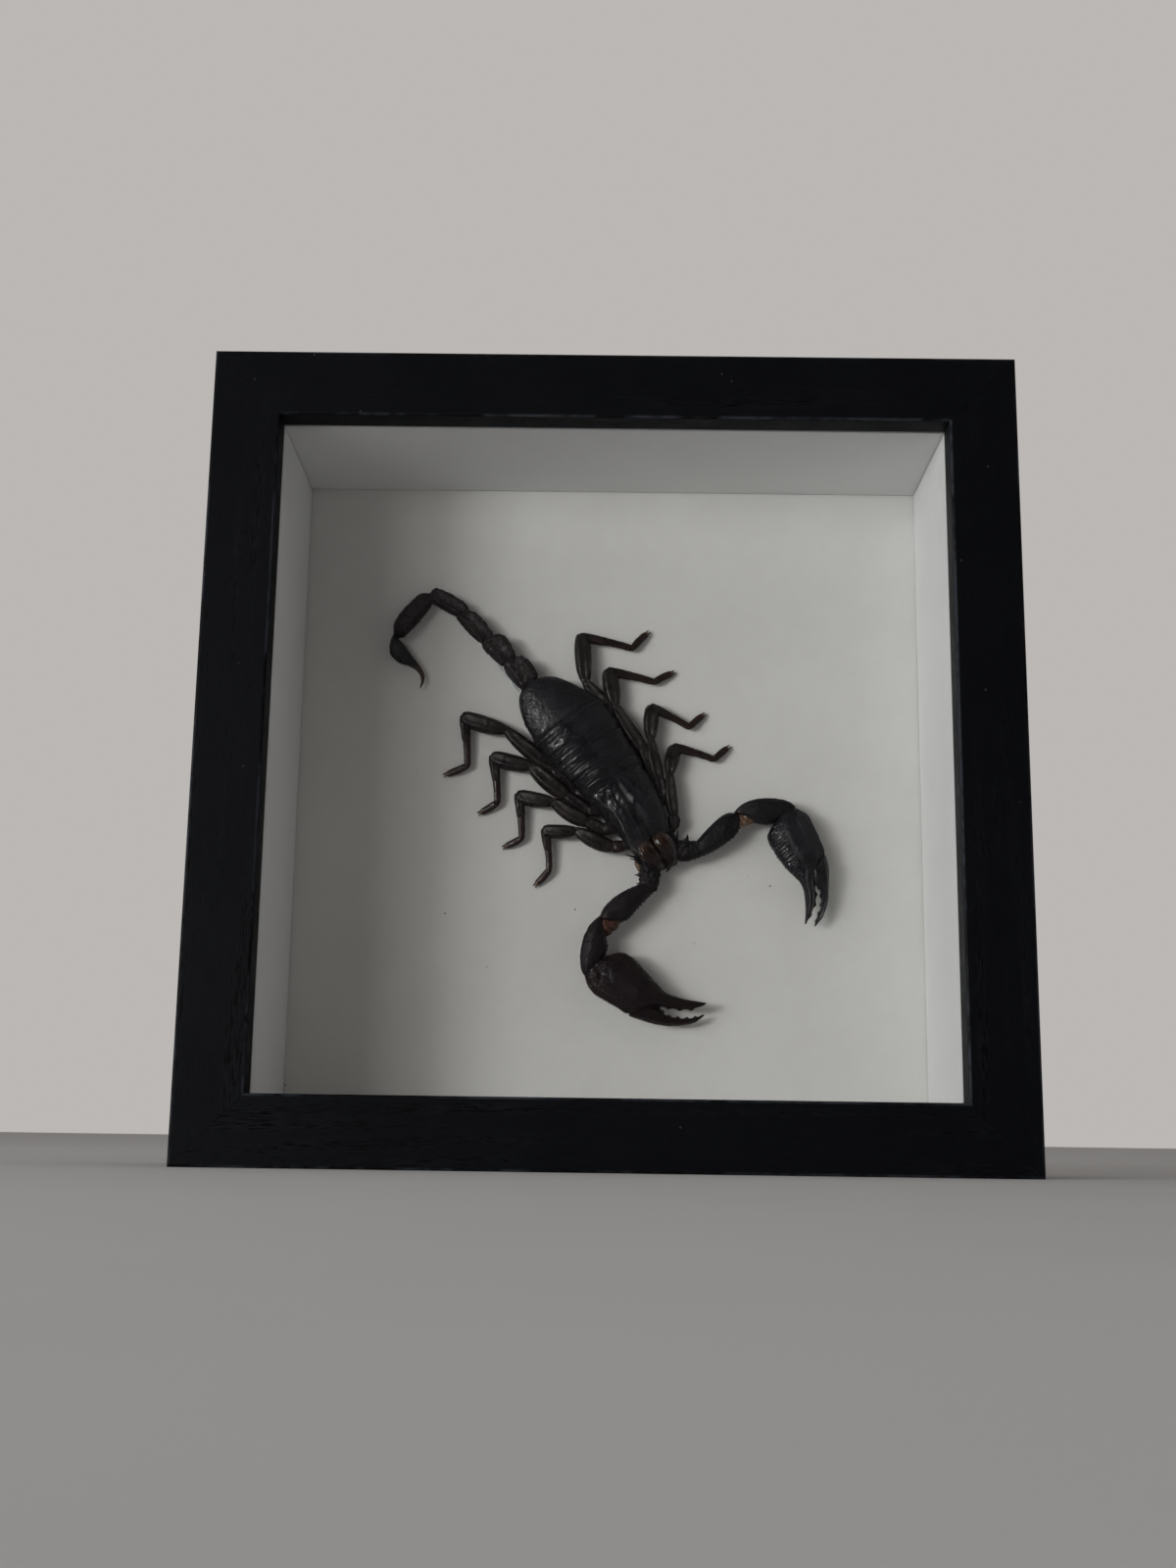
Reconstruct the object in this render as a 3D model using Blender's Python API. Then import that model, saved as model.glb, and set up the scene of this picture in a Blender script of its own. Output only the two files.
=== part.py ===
"""Framed scorpion specimen: a deep box frame of black-stained wood with a dry scorpion inside.

Row frame, in metres: X to the viewer's right, Y to the back, Z up, with the origin at the
middle of the bottom. Sizes are written in millimetres and turned into metres by MM.

The specimen has its own coordinates in millimetres: along (towards its head), left (towards
its own left side) and height above the backing paper.
"""

import math

import bmesh
import bpy
from mathutils import Vector

MM = 0.001
GAP = 0.3

# Driving sizes of the box frame
OUTER = 250.0
DEPTH = 75.0
FACE_WIDTH = 21.0
WALL = 15.0
LIP_DEPTH = 9.0
EDGE_RADIUS = 0.9
EDGE_STEPS = 2
GLASS_THICKNESS = 2.0
BACKING_DEPTH = 65.6
BOARD_THICKNESS = 2.0
PANEL_THICKNESS = 3.0
TAB_LENGTH = 19.0
TAB_WIDTH = 9.0
TAB_THICKNESS = 0.6
TAB_EMBED = 6.0
TAB_OFFSET = 62.0

# Place of the specimen on the backing: it heads down to the right
HEADING = math.radians(-51.46)
CENTRE_RIGHT = 0.54
CENTRE_UP = -1.30

REBATE_HALF = OUTER / 2 - WALL
SIGHT_HALF = OUTER / 2 - FACE_WIDTH
GLASS_FRONT = LIP_DEPTH + GAP
LINER_FRONT = GLASS_FRONT + GLASS_THICKNESS + GAP

# Body: edge of each back plate along the axis, then the outline as
# (along, right edge, left edge, top height)
PLATE_EDGES = (-27.0, -18.8, -15.0, -11.1, -7.6, -4.6, -1.3)
PLATE_STEP = 0.45
PLATE_LAP = 0.35
PLATE_CLEAR = 1.0
PLATE_FLARE = 0.5
BODY_OUTLINE = (
    (-44.2, -3.6, 3.9, 8.2),
    (-43.0, -5.4, 6.3, 9.0),
    (-40.5, -7.2, 9.0, 9.8),
    (-35.5, -9.2, 12.0, 10.6),
    (-29.0, -10.2, 14.8, 11.2),
    (-22.0, -10.9, 15.6, 11.6),
    (-14.0, -10.2, 14.3, 11.8),
    (-4.0, -8.9, 13.0, 11.6),
    (4.4, -8.5, 12.2, 11.8),
    (10.0, -8.2, 11.4, 11.6),
    (16.2, -7.7, 9.8, 10.8),
    (20.5, -7.3, 8.2, 9.8),
    (23.6, -6.3, 6.6, 8.8),
)
BODY_WAIST = 5.0
BODY_FLOOR = 0.4
BODY_SIDES = 16
FRONT_NOTCH = 2.4
FRONT_NOTCH_WIDTH = 2.2

# Walking legs: joints from the body outwards as (along, left, height), and the half width of
# the trochanter, femur, patella, tibia and foot
LEGS = {
    "leg_left_1": (
        ((21.5, 6.0, 3.6), (23.1, 8.6, 4.2), (20.2, 10.7, 4.6), (8.3, 18.5, 4.4), (2.2, 25.5, 3.4),
         (13.3, 33.5, 2.4), (12.8, 40.1, 1.0)),
        (1.9, 2.0, 2.3, 1.55, 1.1)),
    "leg_left_2": (
        ((14.0, 8.5, 3.4), (12.6, 12.2, 4.2), (7.8, 14.3, 4.6), (-4.8, 20.8, 4.4), (-13.2, 27.9, 3.4),
         (-0.5, 33.8, 2.4), (-1.1, 40.6, 1.0)),
        (2.0, 2.1, 2.4, 1.6, 1.1)),
    "leg_left_3": (
        ((8.0, 9.5, 3.2), (5.8, 13.6, 4.0), (-3.6, 16.5, 4.6), (-21.2, 18.4, 4.4), (-31.8, 24.3, 3.4),
         (-20.0, 34.2, 2.4), (-18.9, 41.5, 1.0)),
        (2.0, 2.35, 2.7, 1.65, 1.15)),
    "leg_left_4": (
        ((0.0, 10.0, 2.8), (-8.4, 15.3, 3.4), (-19.8, 16.5, 4.0), (-33.8, 15.6, 4.4), (-47.0, 24.5, 3.4),
         (-33.8, 35.6, 2.4), (-35.2, 43.4, 1.0)),
        (1.9, 2.35, 2.7, 1.65, 1.15)),
    "leg_right_1": (
        ((18.5, -5.0, 3.6), (18.0, -8.6, 4.2), (16.0, -12.1, 4.6), (4.7, -17.7, 4.4), (-2.0, -25.9, 3.4),
         (9.0, -32.6, 2.4), (10.1, -39.1, 1.0)),
        (1.9, 2.5, 2.25, 1.5, 1.1)),
    "leg_right_2": (
        ((11.5, -5.0, 3.4), (9.7, -10.6, 4.2), (4.4, -13.2, 4.6), (-7.8, -17.9, 4.4), (-16.7, -25.7, 3.4),
         (-4.9, -33.5, 2.4), (-6.3, -39.5, 1.0)),
        (2.0, 2.6, 2.45, 1.55, 1.1)),
    "leg_right_3": (
        ((4.5, -5.5, 3.2), (1.5, -10.6, 4.0), (-7.1, -13.1, 4.6), (-21.9, -16.3, 4.4), (-32.2, -24.5, 3.4),
         (-19.4, -32.6, 2.4), (-20.4, -39.1, 1.0)),
        (2.0, 2.9, 2.7, 1.6, 1.15)),
    "leg_right_4": (
        ((-1.0, -6.5, 2.8), (-6.1, -9.6, 3.2), (-16.9, -11.0, 4.0), (-36.8, -15.4, 4.4), (-49.1, -24.0, 3.4),
         (-35.6, -32.9, 2.4), (-37.8, -40.3, 1.0)),
        (1.9, 2.6, 2.8, 1.6, 1.15)),
}
LEG_SIDES = 8
LEG_FLATNESS = 0.78
SPINDLE = ((0.0, 0.50), (0.10, 0.86), (0.42, 1.0), (0.86, 0.84), (1.0, 0.50))
CLAW_LENGTH = 1.5
CLAW_SPREAD = 0.6

# Tail: the two edges of each ring of the five segments, and its centre height and half height
TAIL = (
    (((-43.6, 2.8), (-43.6, -2.2)), ((-46.0, 4.6), (-45.8, -3.5)), ((-52.5, 4.3), (-53.4, -3.2)),
     ((-54.5, 2.2), (-55.0, -2.2)), 5.6, 3.1),
    (((-54.4, 2.4), (-54.1, -2.3)), ((-56.7, 3.1), (-56.1, -3.6)), ((-62.7, 3.4), (-64.0, -4.4)),
     ((-64.9, 1.3), (-65.5, -3.2)), 5.4, 3.0),
    (((-64.6, 1.1), (-64.4, -3.3)), ((-67.4, 1.3), (-67.4, -4.6)), ((-75.0, 0.8), (-77.0, -5.2)),
     ((-77.2, -0.9), (-78.6, -4.1)), 5.1, 2.9),
    (((-76.1, -0.6), (-77.5, -4.5)), ((-79.7, 0.1), (-80.1, -5.8)), ((-87.9, -2.8), (-86.1, -7.9)),
     ((-91.1, -5.2), (-88.1, -9.0)), 4.8, 2.8),
    (((-90.5, -5.7), (-87.3, -8.4)), ((-92.5, -10.2), (-86.3, -12.0)), ((-90.7, -20.4), (-84.5, -20.0)),
     ((-87.9, -24.8), (-84.2, -24.2)), 4.2, 2.8),
)
TAIL_SIDES = 10
STING = (
    ((-86.8, -25.8), (-83.6, -25.0), 3.9, 1.9),
    ((-85.6, -27.8), (-81.2, -24.7), 3.8, 2.6),
    ((-82.2, -30.4), (-78.8, -24.8), 3.7, 2.7),
    ((-78.0, -29.9), (-76.4, -24.9), 3.5, 2.2),
    ((-75.2, -28.0), (-74.4, -24.9), 3.2, 1.5),
    ((-72.4, -26.9), (-71.8, -25.0), 3.0, 0.95),
    ((-70.0, -26.9), (-69.3, -25.6), 2.8, 0.65),
    ((-68.3, -27.9), (-67.7, -27.1), 2.5, 0.4),
    ((-66.9, -29.5), (-66.6, -29.3), 2.2, 0.12),
)

# Pincer arms and pincers: each row has the outer edge, the inner edge, the centre height and
# the half thickness of one ring
ARM_LEFT = {
    "coxa": (((19.5, 7.4), (19.5, 3.2), 3.2, 2.0), ((29.6, 6.6), (29.6, 1.4), 4.2, 2.2)),
    "trochanter": (((27.6, 4.8), (30.2, 0.6), 5.0, 2.2), ((28.9, 8.0), (34.0, 3.4), 5.4, 3.1),
                   ((31.4, 10.6), (36.4, 8.2), 5.8, 2.6)),
    "femur": (((32.4, 9.6), (36.2, 8.8), 5.8, 2.0), ((31.3, 13.6), (37.4, 13.0), 5.9, 2.9),
              ((30.4, 20.0), (38.0, 19.4), 6.0, 3.1), ((30.5, 24.4), (37.4, 23.6), 6.0, 3.0),
              ((32.2, 27.0), (36.0, 26.2), 6.0, 2.2)),
    "membrane": (((32.6, 25.4), (36.6, 24.6), 6.0, 1.9), ((34.2, 30.4), (38.2, 29.6), 6.0, 1.9)),
    "patella": (((31.6, 27.2), (34.6, 28.2), 6.0, 2.2), ((31.7, 31.5), (38.4, 30.2), 6.1, 3.2),
                ((33.6, 36.3), (41.0, 32.4), 6.1, 3.5), ((37.6, 41.2), (42.4, 34.6), 6.0, 3.3),
                ((41.6, 43.6), (43.4, 37.6), 5.9, 2.9), ((44.6, 43.0), (45.4, 39.0), 5.8, 1.8)),
    "spines": ((36.8, 11.4), (38.2, 18.0), (37.6, 23.2), 5.6),
}
HAND_LEFT = (
    ((43.6, 44.2), (42.4, 35.4), 5.8, 2.6), ((47.6, 45.3), (44.8, 30.6), 5.7, 3.8),
    ((52.3, 44.4), (50.2, 29.1), 5.6, 4.2), ((58.0, 42.9), (56.6, 28.8), 5.5, 3.9),
    ((60.8, 41.3), (60.2, 29.3), 5.4, 3.4), ((64.5, 34.8), (63.6, 29.4), 5.2, 2.5),
    ((67.3, 32.6), (66.6, 28.4), 5.0, 2.0), ((70.6, 30.3), (69.7, 26.4), 4.8, 1.6),
    ((73.1, 26.7), (72.4, 24.3), 4.6, 1.1), ((74.9, 22.6), (74.6, 22.2), 4.4, 0.25),
)
FINGER_LEFT = (
    ((61.6, 41.4), (65.2, 35.2), 5.3, 2.2), ((65.6, 39.4), (67.0, 34.2), 5.2, 2.2),
    ((69.2, 36.4), (68.6, 33.2), 5.0, 1.8), ((72.4, 33.7), (71.6, 31.4), 4.8, 1.5),
    ((74.8, 30.8), (73.8, 29.2), 4.6, 1.2), ((76.5, 27.6), (75.4, 26.6), 4.4, 0.8),
    ((77.4, 24.5), (77.1, 24.2), 4.2, 0.25),
)
ARM_RIGHT = {
    "coxa": (((19.0, -7.4), (19.0, -3.4), 3.2, 2.0), ((28.4, -7.6), (28.4, -2.6), 4.2, 2.2)),
    "trochanter": (((26.4, -7.4), (29.6, -2.6), 5.0, 2.2), ((28.4, -10.2), (33.2, -5.4), 5.4, 3.1),
                   ((31.6, -12.2), (36.2, -8.8), 5.8, 2.6)),
    "femur": (((32.2, -10.6), (36.0, -9.6), 5.8, 2.0), ((31.0, -14.4), (36.5, -13.9), 6.1, 2.9),
              ((30.0, -20.0), (37.5, -19.4), 6.4, 3.2), ((30.3, -25.6), (37.9, -23.6), 6.6, 3.1),
              ((31.8, -29.2), (36.2, -27.4), 6.6, 2.3)),
    "membrane": (((32.6, -27.6), (36.8, -26.0), 6.6, 1.9), ((33.8, -32.4), (38.4, -31.0), 6.6, 1.9)),
    "patella": (((31.8, -29.4), (34.2, -30.0), 6.6, 2.2), ((32.5, -33.8), (38.0, -31.8), 6.8, 3.2),
                ((34.8, -38.4), (41.2, -33.6), 6.9, 3.5), ((38.6, -42.4), (43.0, -36.2), 6.9, 3.4),
                ((42.8, -44.8), (44.6, -39.4), 6.7, 2.9), ((46.4, -44.4), (47.2, -40.4), 6.7, 1.8)),
    "spines": ((36.5, -12.4), (37.9, -20.0), (37.2, -25.4), 6.2),
}
HAND_RIGHT = (
    ((44.8, -45.4), (43.0, -36.6), 6.8, 2.6), ((49.2, -46.4), (45.6, -31.0), 7.0, 3.8),
    ((53.4, -45.2), (50.4, -29.0), 7.1, 4.3), ((58.8, -43.0), (56.5, -28.5), 7.1, 4.0),
    ((62.4, -41.3), (61.0, -28.2), 7.0, 3.4), ((65.2, -34.6), (64.4, -27.7), 7.2, 2.6),
    ((67.8, -31.2), (67.0, -26.2), 7.2, 2.0), ((71.2, -28.0), (69.9, -24.1), 7.1, 1.6),
    ((74.0, -24.0), (72.7, -21.6), 7.0, 1.1), ((75.3, -19.7), (75.0, -19.4), 6.8, 0.25),
)
FINGER_RIGHT = (
    ((63.3, -41.2), (66.0, -35.0), 5.6, 2.2), ((67.6, -38.4), (68.0, -33.6), 5.5, 2.1),
    ((71.0, -35.7), (69.9, -32.2), 5.3, 1.8), ((73.8, -32.6), (72.6, -29.9), 5.1, 1.5),
    ((76.0, -29.2), (75.0, -27.2), 4.8, 1.2), ((77.6, -25.6), (76.5, -24.6), 4.5, 0.8),
    ((77.8, -22.3), (77.4, -22.0), 4.2, 0.25),
)
ARM_SIDES = 10
ARM_SPINES = 7
SPINE_LENGTH = 0.9
SPINE_RADIUS = 0.5
CHELICERAE = {
    "chelicera_left": ((22.0, 2.2, 7.2, 1.9), (24.6, 2.3, 7.6, 2.7), (28.0, 2.0, 7.4, 2.7),
                       (31.0, 1.0, 6.8, 2.0), (33.4, -0.6, 6.0, 0.5)),
    "chelicera_right": ((21.0, -3.6, 7.0, 1.9), (23.6, -4.0, 7.4, 2.6), (27.0, -4.2, 7.2, 2.6),
                        (29.8, -3.9, 6.6, 1.9), (32.0, -3.1, 6.0, 0.5)),
}
CHELICERA_SIDES = 10
GLUE_STRAND = ((-57.4, -5.6, 3.4), (-52.0, -5.5, 3.2), (-46.6, -6.3, 2.6))
GLUE_RADIUS = 0.3

# Finish of each kind of piece: base colour, roughness, metallic value
FINISHES = {
    "black_stained_wood": ((0.012, 0.012, 0.014), 0.5, 0.0),
    "clear_glass": ((1.0, 1.0, 1.0), 0.02, 0.0),
    "white_board": ((0.72, 0.72, 0.70), 0.8, 0.0),
    "backing_paper": ((0.60, 0.60, 0.57), 0.85, 0.0),
    "brown_hardboard": ((0.22, 0.13, 0.07), 0.7, 0.0),
    "steel_tab": ((0.55, 0.55, 0.56), 0.35, 1.0),
    "black_shell": ((0.016, 0.016, 0.019), 0.3, 0.0),
    "brown_shell": ((0.09, 0.035, 0.02), 0.28, 0.0),
    "dark_leg": ((0.028, 0.019, 0.016), 0.38, 0.0),
    "clear_glue": ((0.80, 0.82, 0.84), 0.2, 0.0),
}


def clear_scene():
    """Remove the objects that the new file starts with."""
    for item in list(bpy.data.objects):
        bpy.data.objects.remove(item, do_unlink=True)


def make_finishes():
    """One Principled material for each finish."""
    made = {}
    for name, (colour, roughness, metallic) in FINISHES.items():
        material = bpy.data.materials.new(name)
        material.use_nodes = True
        shader = material.node_tree.nodes["Principled BSDF"]
        shader.inputs["Base Color"].default_value = (*colour, 1.0)
        shader.inputs["Roughness"].default_value = roughness
        shader.inputs["Metallic"].default_value = metallic
        if name == "clear_glass":
            shader.inputs["Transmission Weight"].default_value = 1.0
        material.diffuse_color = (*colour, 1.0)
        made[name] = material
    return made


def add_object(name, verts, faces, material, smooth=True):
    """A named object from points in metres, with its faces turned outwards."""
    mesh = bpy.data.meshes.new(name)
    bm = bmesh.new()
    points = [bm.verts.new(v) for v in verts]
    for face in faces:
        bm.faces.new([points[i] for i in face])
    bmesh.ops.recalc_face_normals(bm, faces=bm.faces)
    bm.to_mesh(mesh)
    bm.free()
    if material is not None:
        mesh.materials.append(material)
    if smooth:
        mesh.shade_smooth()
    item = bpy.data.objects.new(name, mesh)
    bpy.context.scene.collection.objects.link(item)
    return item


def in_frame(across, depth, up):
    """Row-frame point from millimetres: from the centre line, the front face and the bottom."""
    return Vector((across, depth - DEPTH / 2, up)) * MM


def on_backing(along, left, height):
    """Row-frame point of a place in the specimen's own coordinates."""
    right = CENTRE_RIGHT + along * math.cos(HEADING) - left * math.sin(HEADING)
    up = CENTRE_UP + along * math.sin(HEADING) + left * math.cos(HEADING)
    return in_frame(right, BACKING_DEPTH - height, OUTER / 2 + up)


def box(name, low, high, material):
    """A rectangular block between two corners given as (across, depth, up)."""
    corners = [in_frame(x, y, z) for x in (low[0], high[0]) for y in (low[1], high[1])
               for z in (low[2], high[2])]
    faces = [(0, 1, 3, 2), (4, 6, 7, 5), (0, 4, 5, 1), (2, 3, 7, 6), (0, 2, 6, 4), (1, 5, 7, 3)]
    return add_object(name, corners, faces, material, smooth=False)


def loft_faces(rings, sides):
    """Faces of a skin over equal rings, closed by a fan at each end."""
    faces = []
    for ring in range(rings - 1):
        for k in range(sides):
            after = (k + 1) % sides
            faces.append((ring * sides + k, ring * sides + after,
                          (ring + 1) * sides + after, (ring + 1) * sides + k))
    start, end = rings * sides, rings * sides + 1
    for k in range(sides):
        after = (k + 1) % sides
        faces.append((start, after, k))
        faces.append((end, (rings - 1) * sides + k, (rings - 1) * sides + after))
    return faces


def skin(name, rings, material):
    """A closed skin through rings of specimen points."""
    verts = [on_backing(*point) for ring in rings for point in ring]
    for ring in (rings[0], rings[-1]):
        middle = sum((Vector(point) for point in ring), Vector()) / len(ring)
        verts.append(on_backing(*middle))
    return add_object(name, verts, loft_faces(len(rings), len(rings[0])), material)


def oval(centre, side, lift, sides):
    """One ring of points round a centre."""
    turns = [2 * math.pi * k / sides for k in range(sides)]
    return [tuple(centre + side * math.cos(a) + lift * math.sin(a)) for a in turns]


def tube_rings(path, widths, flatness, sides, grow=0.0):
    """Rings across a path of specimen points, flattened towards the backing."""
    points = [Vector(p) for p in path]
    if grow:
        lead = (points[1] - points[0]).normalized() * grow
        trail = (points[-1] - points[-2]).normalized() * grow
        points[0] -= lead
        points[-1] += trail
    rings = []
    for k, point in enumerate(points):
        before = points[max(k - 1, 0)]
        after = points[min(k + 1, len(points) - 1)]
        run = (after - before).normalized()
        side = Vector((0.0, 0.0, 1.0)).cross(run).normalized()
        lift = run.cross(side)
        wide = widths[k] + grow
        rings.append(oval(point, side * wide, lift * (widths[k] * flatness + grow), sides))
    return rings


def slab_rings(rows, sides, grow=0.0):
    """Rings between an outer and an inner edge, each with its height and half thickness."""
    rings = []
    for outer, inner, height, thick in rows:
        a = Vector((*outer, height))
        b = Vector((*inner, height))
        side = (a - b) / 2
        side += side.normalized() * grow
        rings.append(oval((a + b) / 2, side, Vector((0.0, 0.0, thick + grow)), sides))
    if grow:
        for end, inward in ((0, 1), (-1, -2)):
            middle = sum((Vector(p) for p in rings[end]), Vector()) / sides
            other = sum((Vector(p) for p in rings[inward]), Vector()) / sides
            shift = (middle - other).normalized() * grow
            rings[end] = [tuple(Vector(p) + shift) for p in rings[end]]
    return rings


def carve(name, material, solids, cutters=()):
    """One object: the solids joined, less the cutters, with the helpers removed."""
    base = solids[0]
    for operation, others in (("UNION", solids[1:]), ("DIFFERENCE", cutters)):
        if not others:
            continue
        group = bpy.data.collections.new(name + "_" + operation.lower())
        for other in others:
            group.objects.link(other)
        modifier = base.modifiers.new(operation.lower(), "BOOLEAN")
        modifier.operation = operation
        modifier.operand_type = "COLLECTION"
        modifier.collection = group
        modifier.solver = "EXACT"
    bpy.context.view_layer.update()
    graph = bpy.context.evaluated_depsgraph_get()
    mesh = bpy.data.meshes.new_from_object(base.evaluated_get(graph))
    mesh.name = name
    mesh.materials.clear()
    mesh.materials.append(material)
    for helper in (*solids, *cutters):
        bpy.data.objects.remove(helper, do_unlink=True)
    item = bpy.data.objects.new(name, mesh)
    bpy.context.scene.collection.objects.link(item)
    return item


def corner_arc(centre, start_angle, end_angle):
    """Points of a small rounded edge of the rail section."""
    turns = [start_angle + (end_angle - start_angle) * k / EDGE_STEPS for k in range(EDGE_STEPS + 1)]
    return [(centre[0] + EDGE_RADIUS * math.cos(a), centre[1] + EDGE_RADIUS * math.sin(a))
            for a in turns]


def rail_section():
    """Section of a rail as (distance in from the outer edge, depth): a wall with a front lip."""
    r = EDGE_RADIUS
    quarter = math.pi / 2
    return [
        *corner_arc((r, r), 2 * quarter, 3 * quarter),
        *corner_arc((FACE_WIDTH - r, r), -quarter, 0.0),
        (FACE_WIDTH, LIP_DEPTH),
        (WALL, LIP_DEPTH),
        (WALL, DEPTH),
        *corner_arc((r, DEPTH - r), quarter, 2 * quarter),
    ]


def make_rail(name, quarter_turns, material):
    """One mitred rail, drawn as the bottom one and turned about the middle of the frame."""
    mitre = GAP / math.sqrt(2)
    section = rail_section()
    half = OUTER / 2
    turn = math.radians(90 * quarter_turns)
    verts = []
    for end in (-1, 1):
        for inset, depth in section:
            x = end * (half - inset - mitre)
            z = inset - half
            verts.append(in_frame(x * math.cos(turn) - z * math.sin(turn), depth,
                                  half + x * math.sin(turn) + z * math.cos(turn)))
    n = len(section)
    faces = [tuple(range(n)), tuple(range(n, 2 * n))]
    faces += [(k, (k + 1) % n, n + (k + 1) % n, n + k) for k in range(n)]
    rail = add_object(name + "_blank", verts, faces, material, smooth=False)
    slots = [tab_block(name + "_slot", quarter_turns, place, None, GAP) for place in (-1, 1)]
    return carve(name, material, [rail], slots)


def tab_block(name, quarter_turns, place, material, clearance):
    """A flat steel tab set in the rail wall behind the back panel, or its slot with a clearance."""
    depth = BACKING_DEPTH + BOARD_THICKNESS + GAP + PANEL_THICKNESS + GAP
    top = TAB_LENGTH - TAB_EMBED + WALL
    turn = math.radians(90 * quarter_turns)
    half = OUTER / 2
    verts = []
    for across in (-TAB_WIDTH / 2 - clearance, TAB_WIDTH / 2 + clearance):
        for y in (depth - clearance, depth + TAB_THICKNESS + clearance):
            for up in (WALL - TAB_EMBED - clearance, top):
                x = place * TAB_OFFSET + across
                z = up - half
                verts.append(in_frame(x * math.cos(turn) - z * math.sin(turn), y,
                                      half + x * math.sin(turn) + z * math.cos(turn)))
    faces = [(0, 1, 3, 2), (4, 6, 7, 5), (0, 4, 5, 1), (2, 3, 7, 6), (0, 2, 6, 4), (1, 5, 7, 3)]
    return add_object(name, verts, faces, material, smooth=False)


def make_frame(finish):
    """Rails, glass, liner strips, backing board, back panel and the tabs that hold it."""
    for turns, side in enumerate(("bottom", "right", "top", "left")):
        make_rail("rail_" + side, turns, finish["black_stained_wood"])
        for number, place in enumerate((-1, 1)):
            tab_block(f"back_tab_{2 * turns + number + 1}", turns, place, finish["steel_tab"], 0.0)
    half = OUTER / 2
    sheet = REBATE_HALF - GAP
    box("glass_pane", (-sheet, GLASS_FRONT, half - sheet),
        (sheet, GLASS_FRONT + GLASS_THICKNESS, half + sheet), finish["clear_glass"])
    back = BACKING_DEPTH - GAP
    board = finish["white_board"]
    box("liner_top", (-sheet, LINER_FRONT, half + SIGHT_HALF), (sheet, back, half + sheet), board)
    box("liner_bottom", (-sheet, LINER_FRONT, half - sheet), (sheet, back, half - SIGHT_HALF), board)
    inner = SIGHT_HALF - GAP
    box("liner_left", (-sheet, LINER_FRONT, half - inner), (-SIGHT_HALF, back, half + inner), board)
    box("liner_right", (SIGHT_HALF, LINER_FRONT, half - inner), (sheet, back, half + inner), board)
    board_back = BACKING_DEPTH + BOARD_THICKNESS
    box("backing_board", (-sheet, BACKING_DEPTH, half - sheet), (sheet, board_back, half + sheet),
        finish["backing_paper"])
    box("back_panel", (-sheet, board_back + GAP, half - sheet),
        (sheet, board_back + GAP + PANEL_THICKNESS, half + sheet), finish["brown_hardboard"])


def body_outline(along):
    """Right edge, left edge and top height of the body at a place along its axis."""
    rows = BODY_OUTLINE
    for row, following in zip(rows, rows[1:]):
        if along <= following[0]:
            share = (along - row[0]) / (following[0] - row[0])
            share = max(share, 0.0)
            return [a + (b - a) * share for a, b in zip(row[1:], following[1:])]
    return list(rows[-1][1:])


def body_ring(along, lift, grow, notch):
    """A ring of the body: a low dome above, nearly flat below."""
    right, left, top = body_outline(along)
    middle = (right + left) / 2
    half = (left - right) / 2 + grow + lift * PLATE_FLARE
    ring = []
    for k in range(BODY_SIDES):
        a = 2 * math.pi * k / BODY_SIDES
        c, s = math.cos(a), math.sin(a)
        sideways = math.copysign(abs(c) ** 0.85, c)
        if s >= 0:
            height = BODY_WAIST + (top + lift + grow - BODY_WAIST) * s ** 0.85
        else:
            height = BODY_WAIST - (BODY_WAIST - BODY_FLOOR + grow) * abs(s) ** 0.55
        place = middle + half * sideways
        back = notch * math.exp(-((place - middle) / FRONT_NOTCH_WIDTH) ** 2)
        ring.append((along - back, place, height))
    return ring


def body_rings(grow=0.0):
    """Rings of the carapace and the seven back plates, each plate lapping the one behind."""
    stations = [(row[0], 0.0) for row in BODY_OUTLINE
                if all(abs(row[0] - edge) > PLATE_CLEAR for edge in PLATE_EDGES)]
    for edge in PLATE_EDGES:
        stations.append((edge, 0.0))
        stations.append((edge + PLATE_LAP, PLATE_STEP))
    stations.sort()
    low, high = stations[0][0], stations[-1][0]
    rings = []
    for along, lift in stations:
        notch = FRONT_NOTCH if along == high else 0.0
        shift = -grow if along == low else grow if along == high else 0.0
        ring = body_ring(along, lift, grow, notch)
        rings.append([(p[0] + shift, p[1], p[2]) for p in ring])
    return rings


def segment_rings(start, end, half_width, grow=0.0, sides=LEG_SIDES, reach=0.35):
    """A spindle-shaped limb segment that runs a little past both of its joints."""
    a, b = Vector(start), Vector(end)
    run = (b - a).normalized() * half_width * reach
    a, b = a - run, b + run
    path = [a.lerp(b, share) for share, _ in SPINDLE]
    widths = [half_width * swell for _, swell in SPINDLE]
    return tube_rings(path, widths, LEG_FLATNESS, sides, grow)


def leg_parts(name, grow=0.0):
    """Solids of one leg: coxa, trochanter, femur, patella, tibia, foot and two claws."""
    joints, widths = LEGS[name]
    widths = (widths[0], *widths)
    solids = []
    for number, (start, end, wide) in enumerate(zip(joints, joints[1:], widths)):
        rings = segment_rings(start, end, wide, grow)
        solids.append(skin(f"{name}_segment_{number}", rings, None))
    if grow:
        return solids
    ankle, foot = Vector(joints[-2]), Vector(joints[-1])
    run = (foot - ankle).normalized()
    side = Vector((0.0, 0.0, 1.0)).cross(run).normalized()
    for hand in (-1, 1):
        root = foot - run * 0.3 + side * hand * 0.3
        tip = foot + run * CLAW_LENGTH * 0.8 + side * hand * CLAW_SPREAD
        tip.z = 0.55
        rings = tube_rings([root, root.lerp(tip, 0.6), tip], (0.5, 0.34, 0.12), 0.9, 5)
        solids.append(skin(f"{name}_claw_{hand}", rings, None))
    return solids


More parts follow.
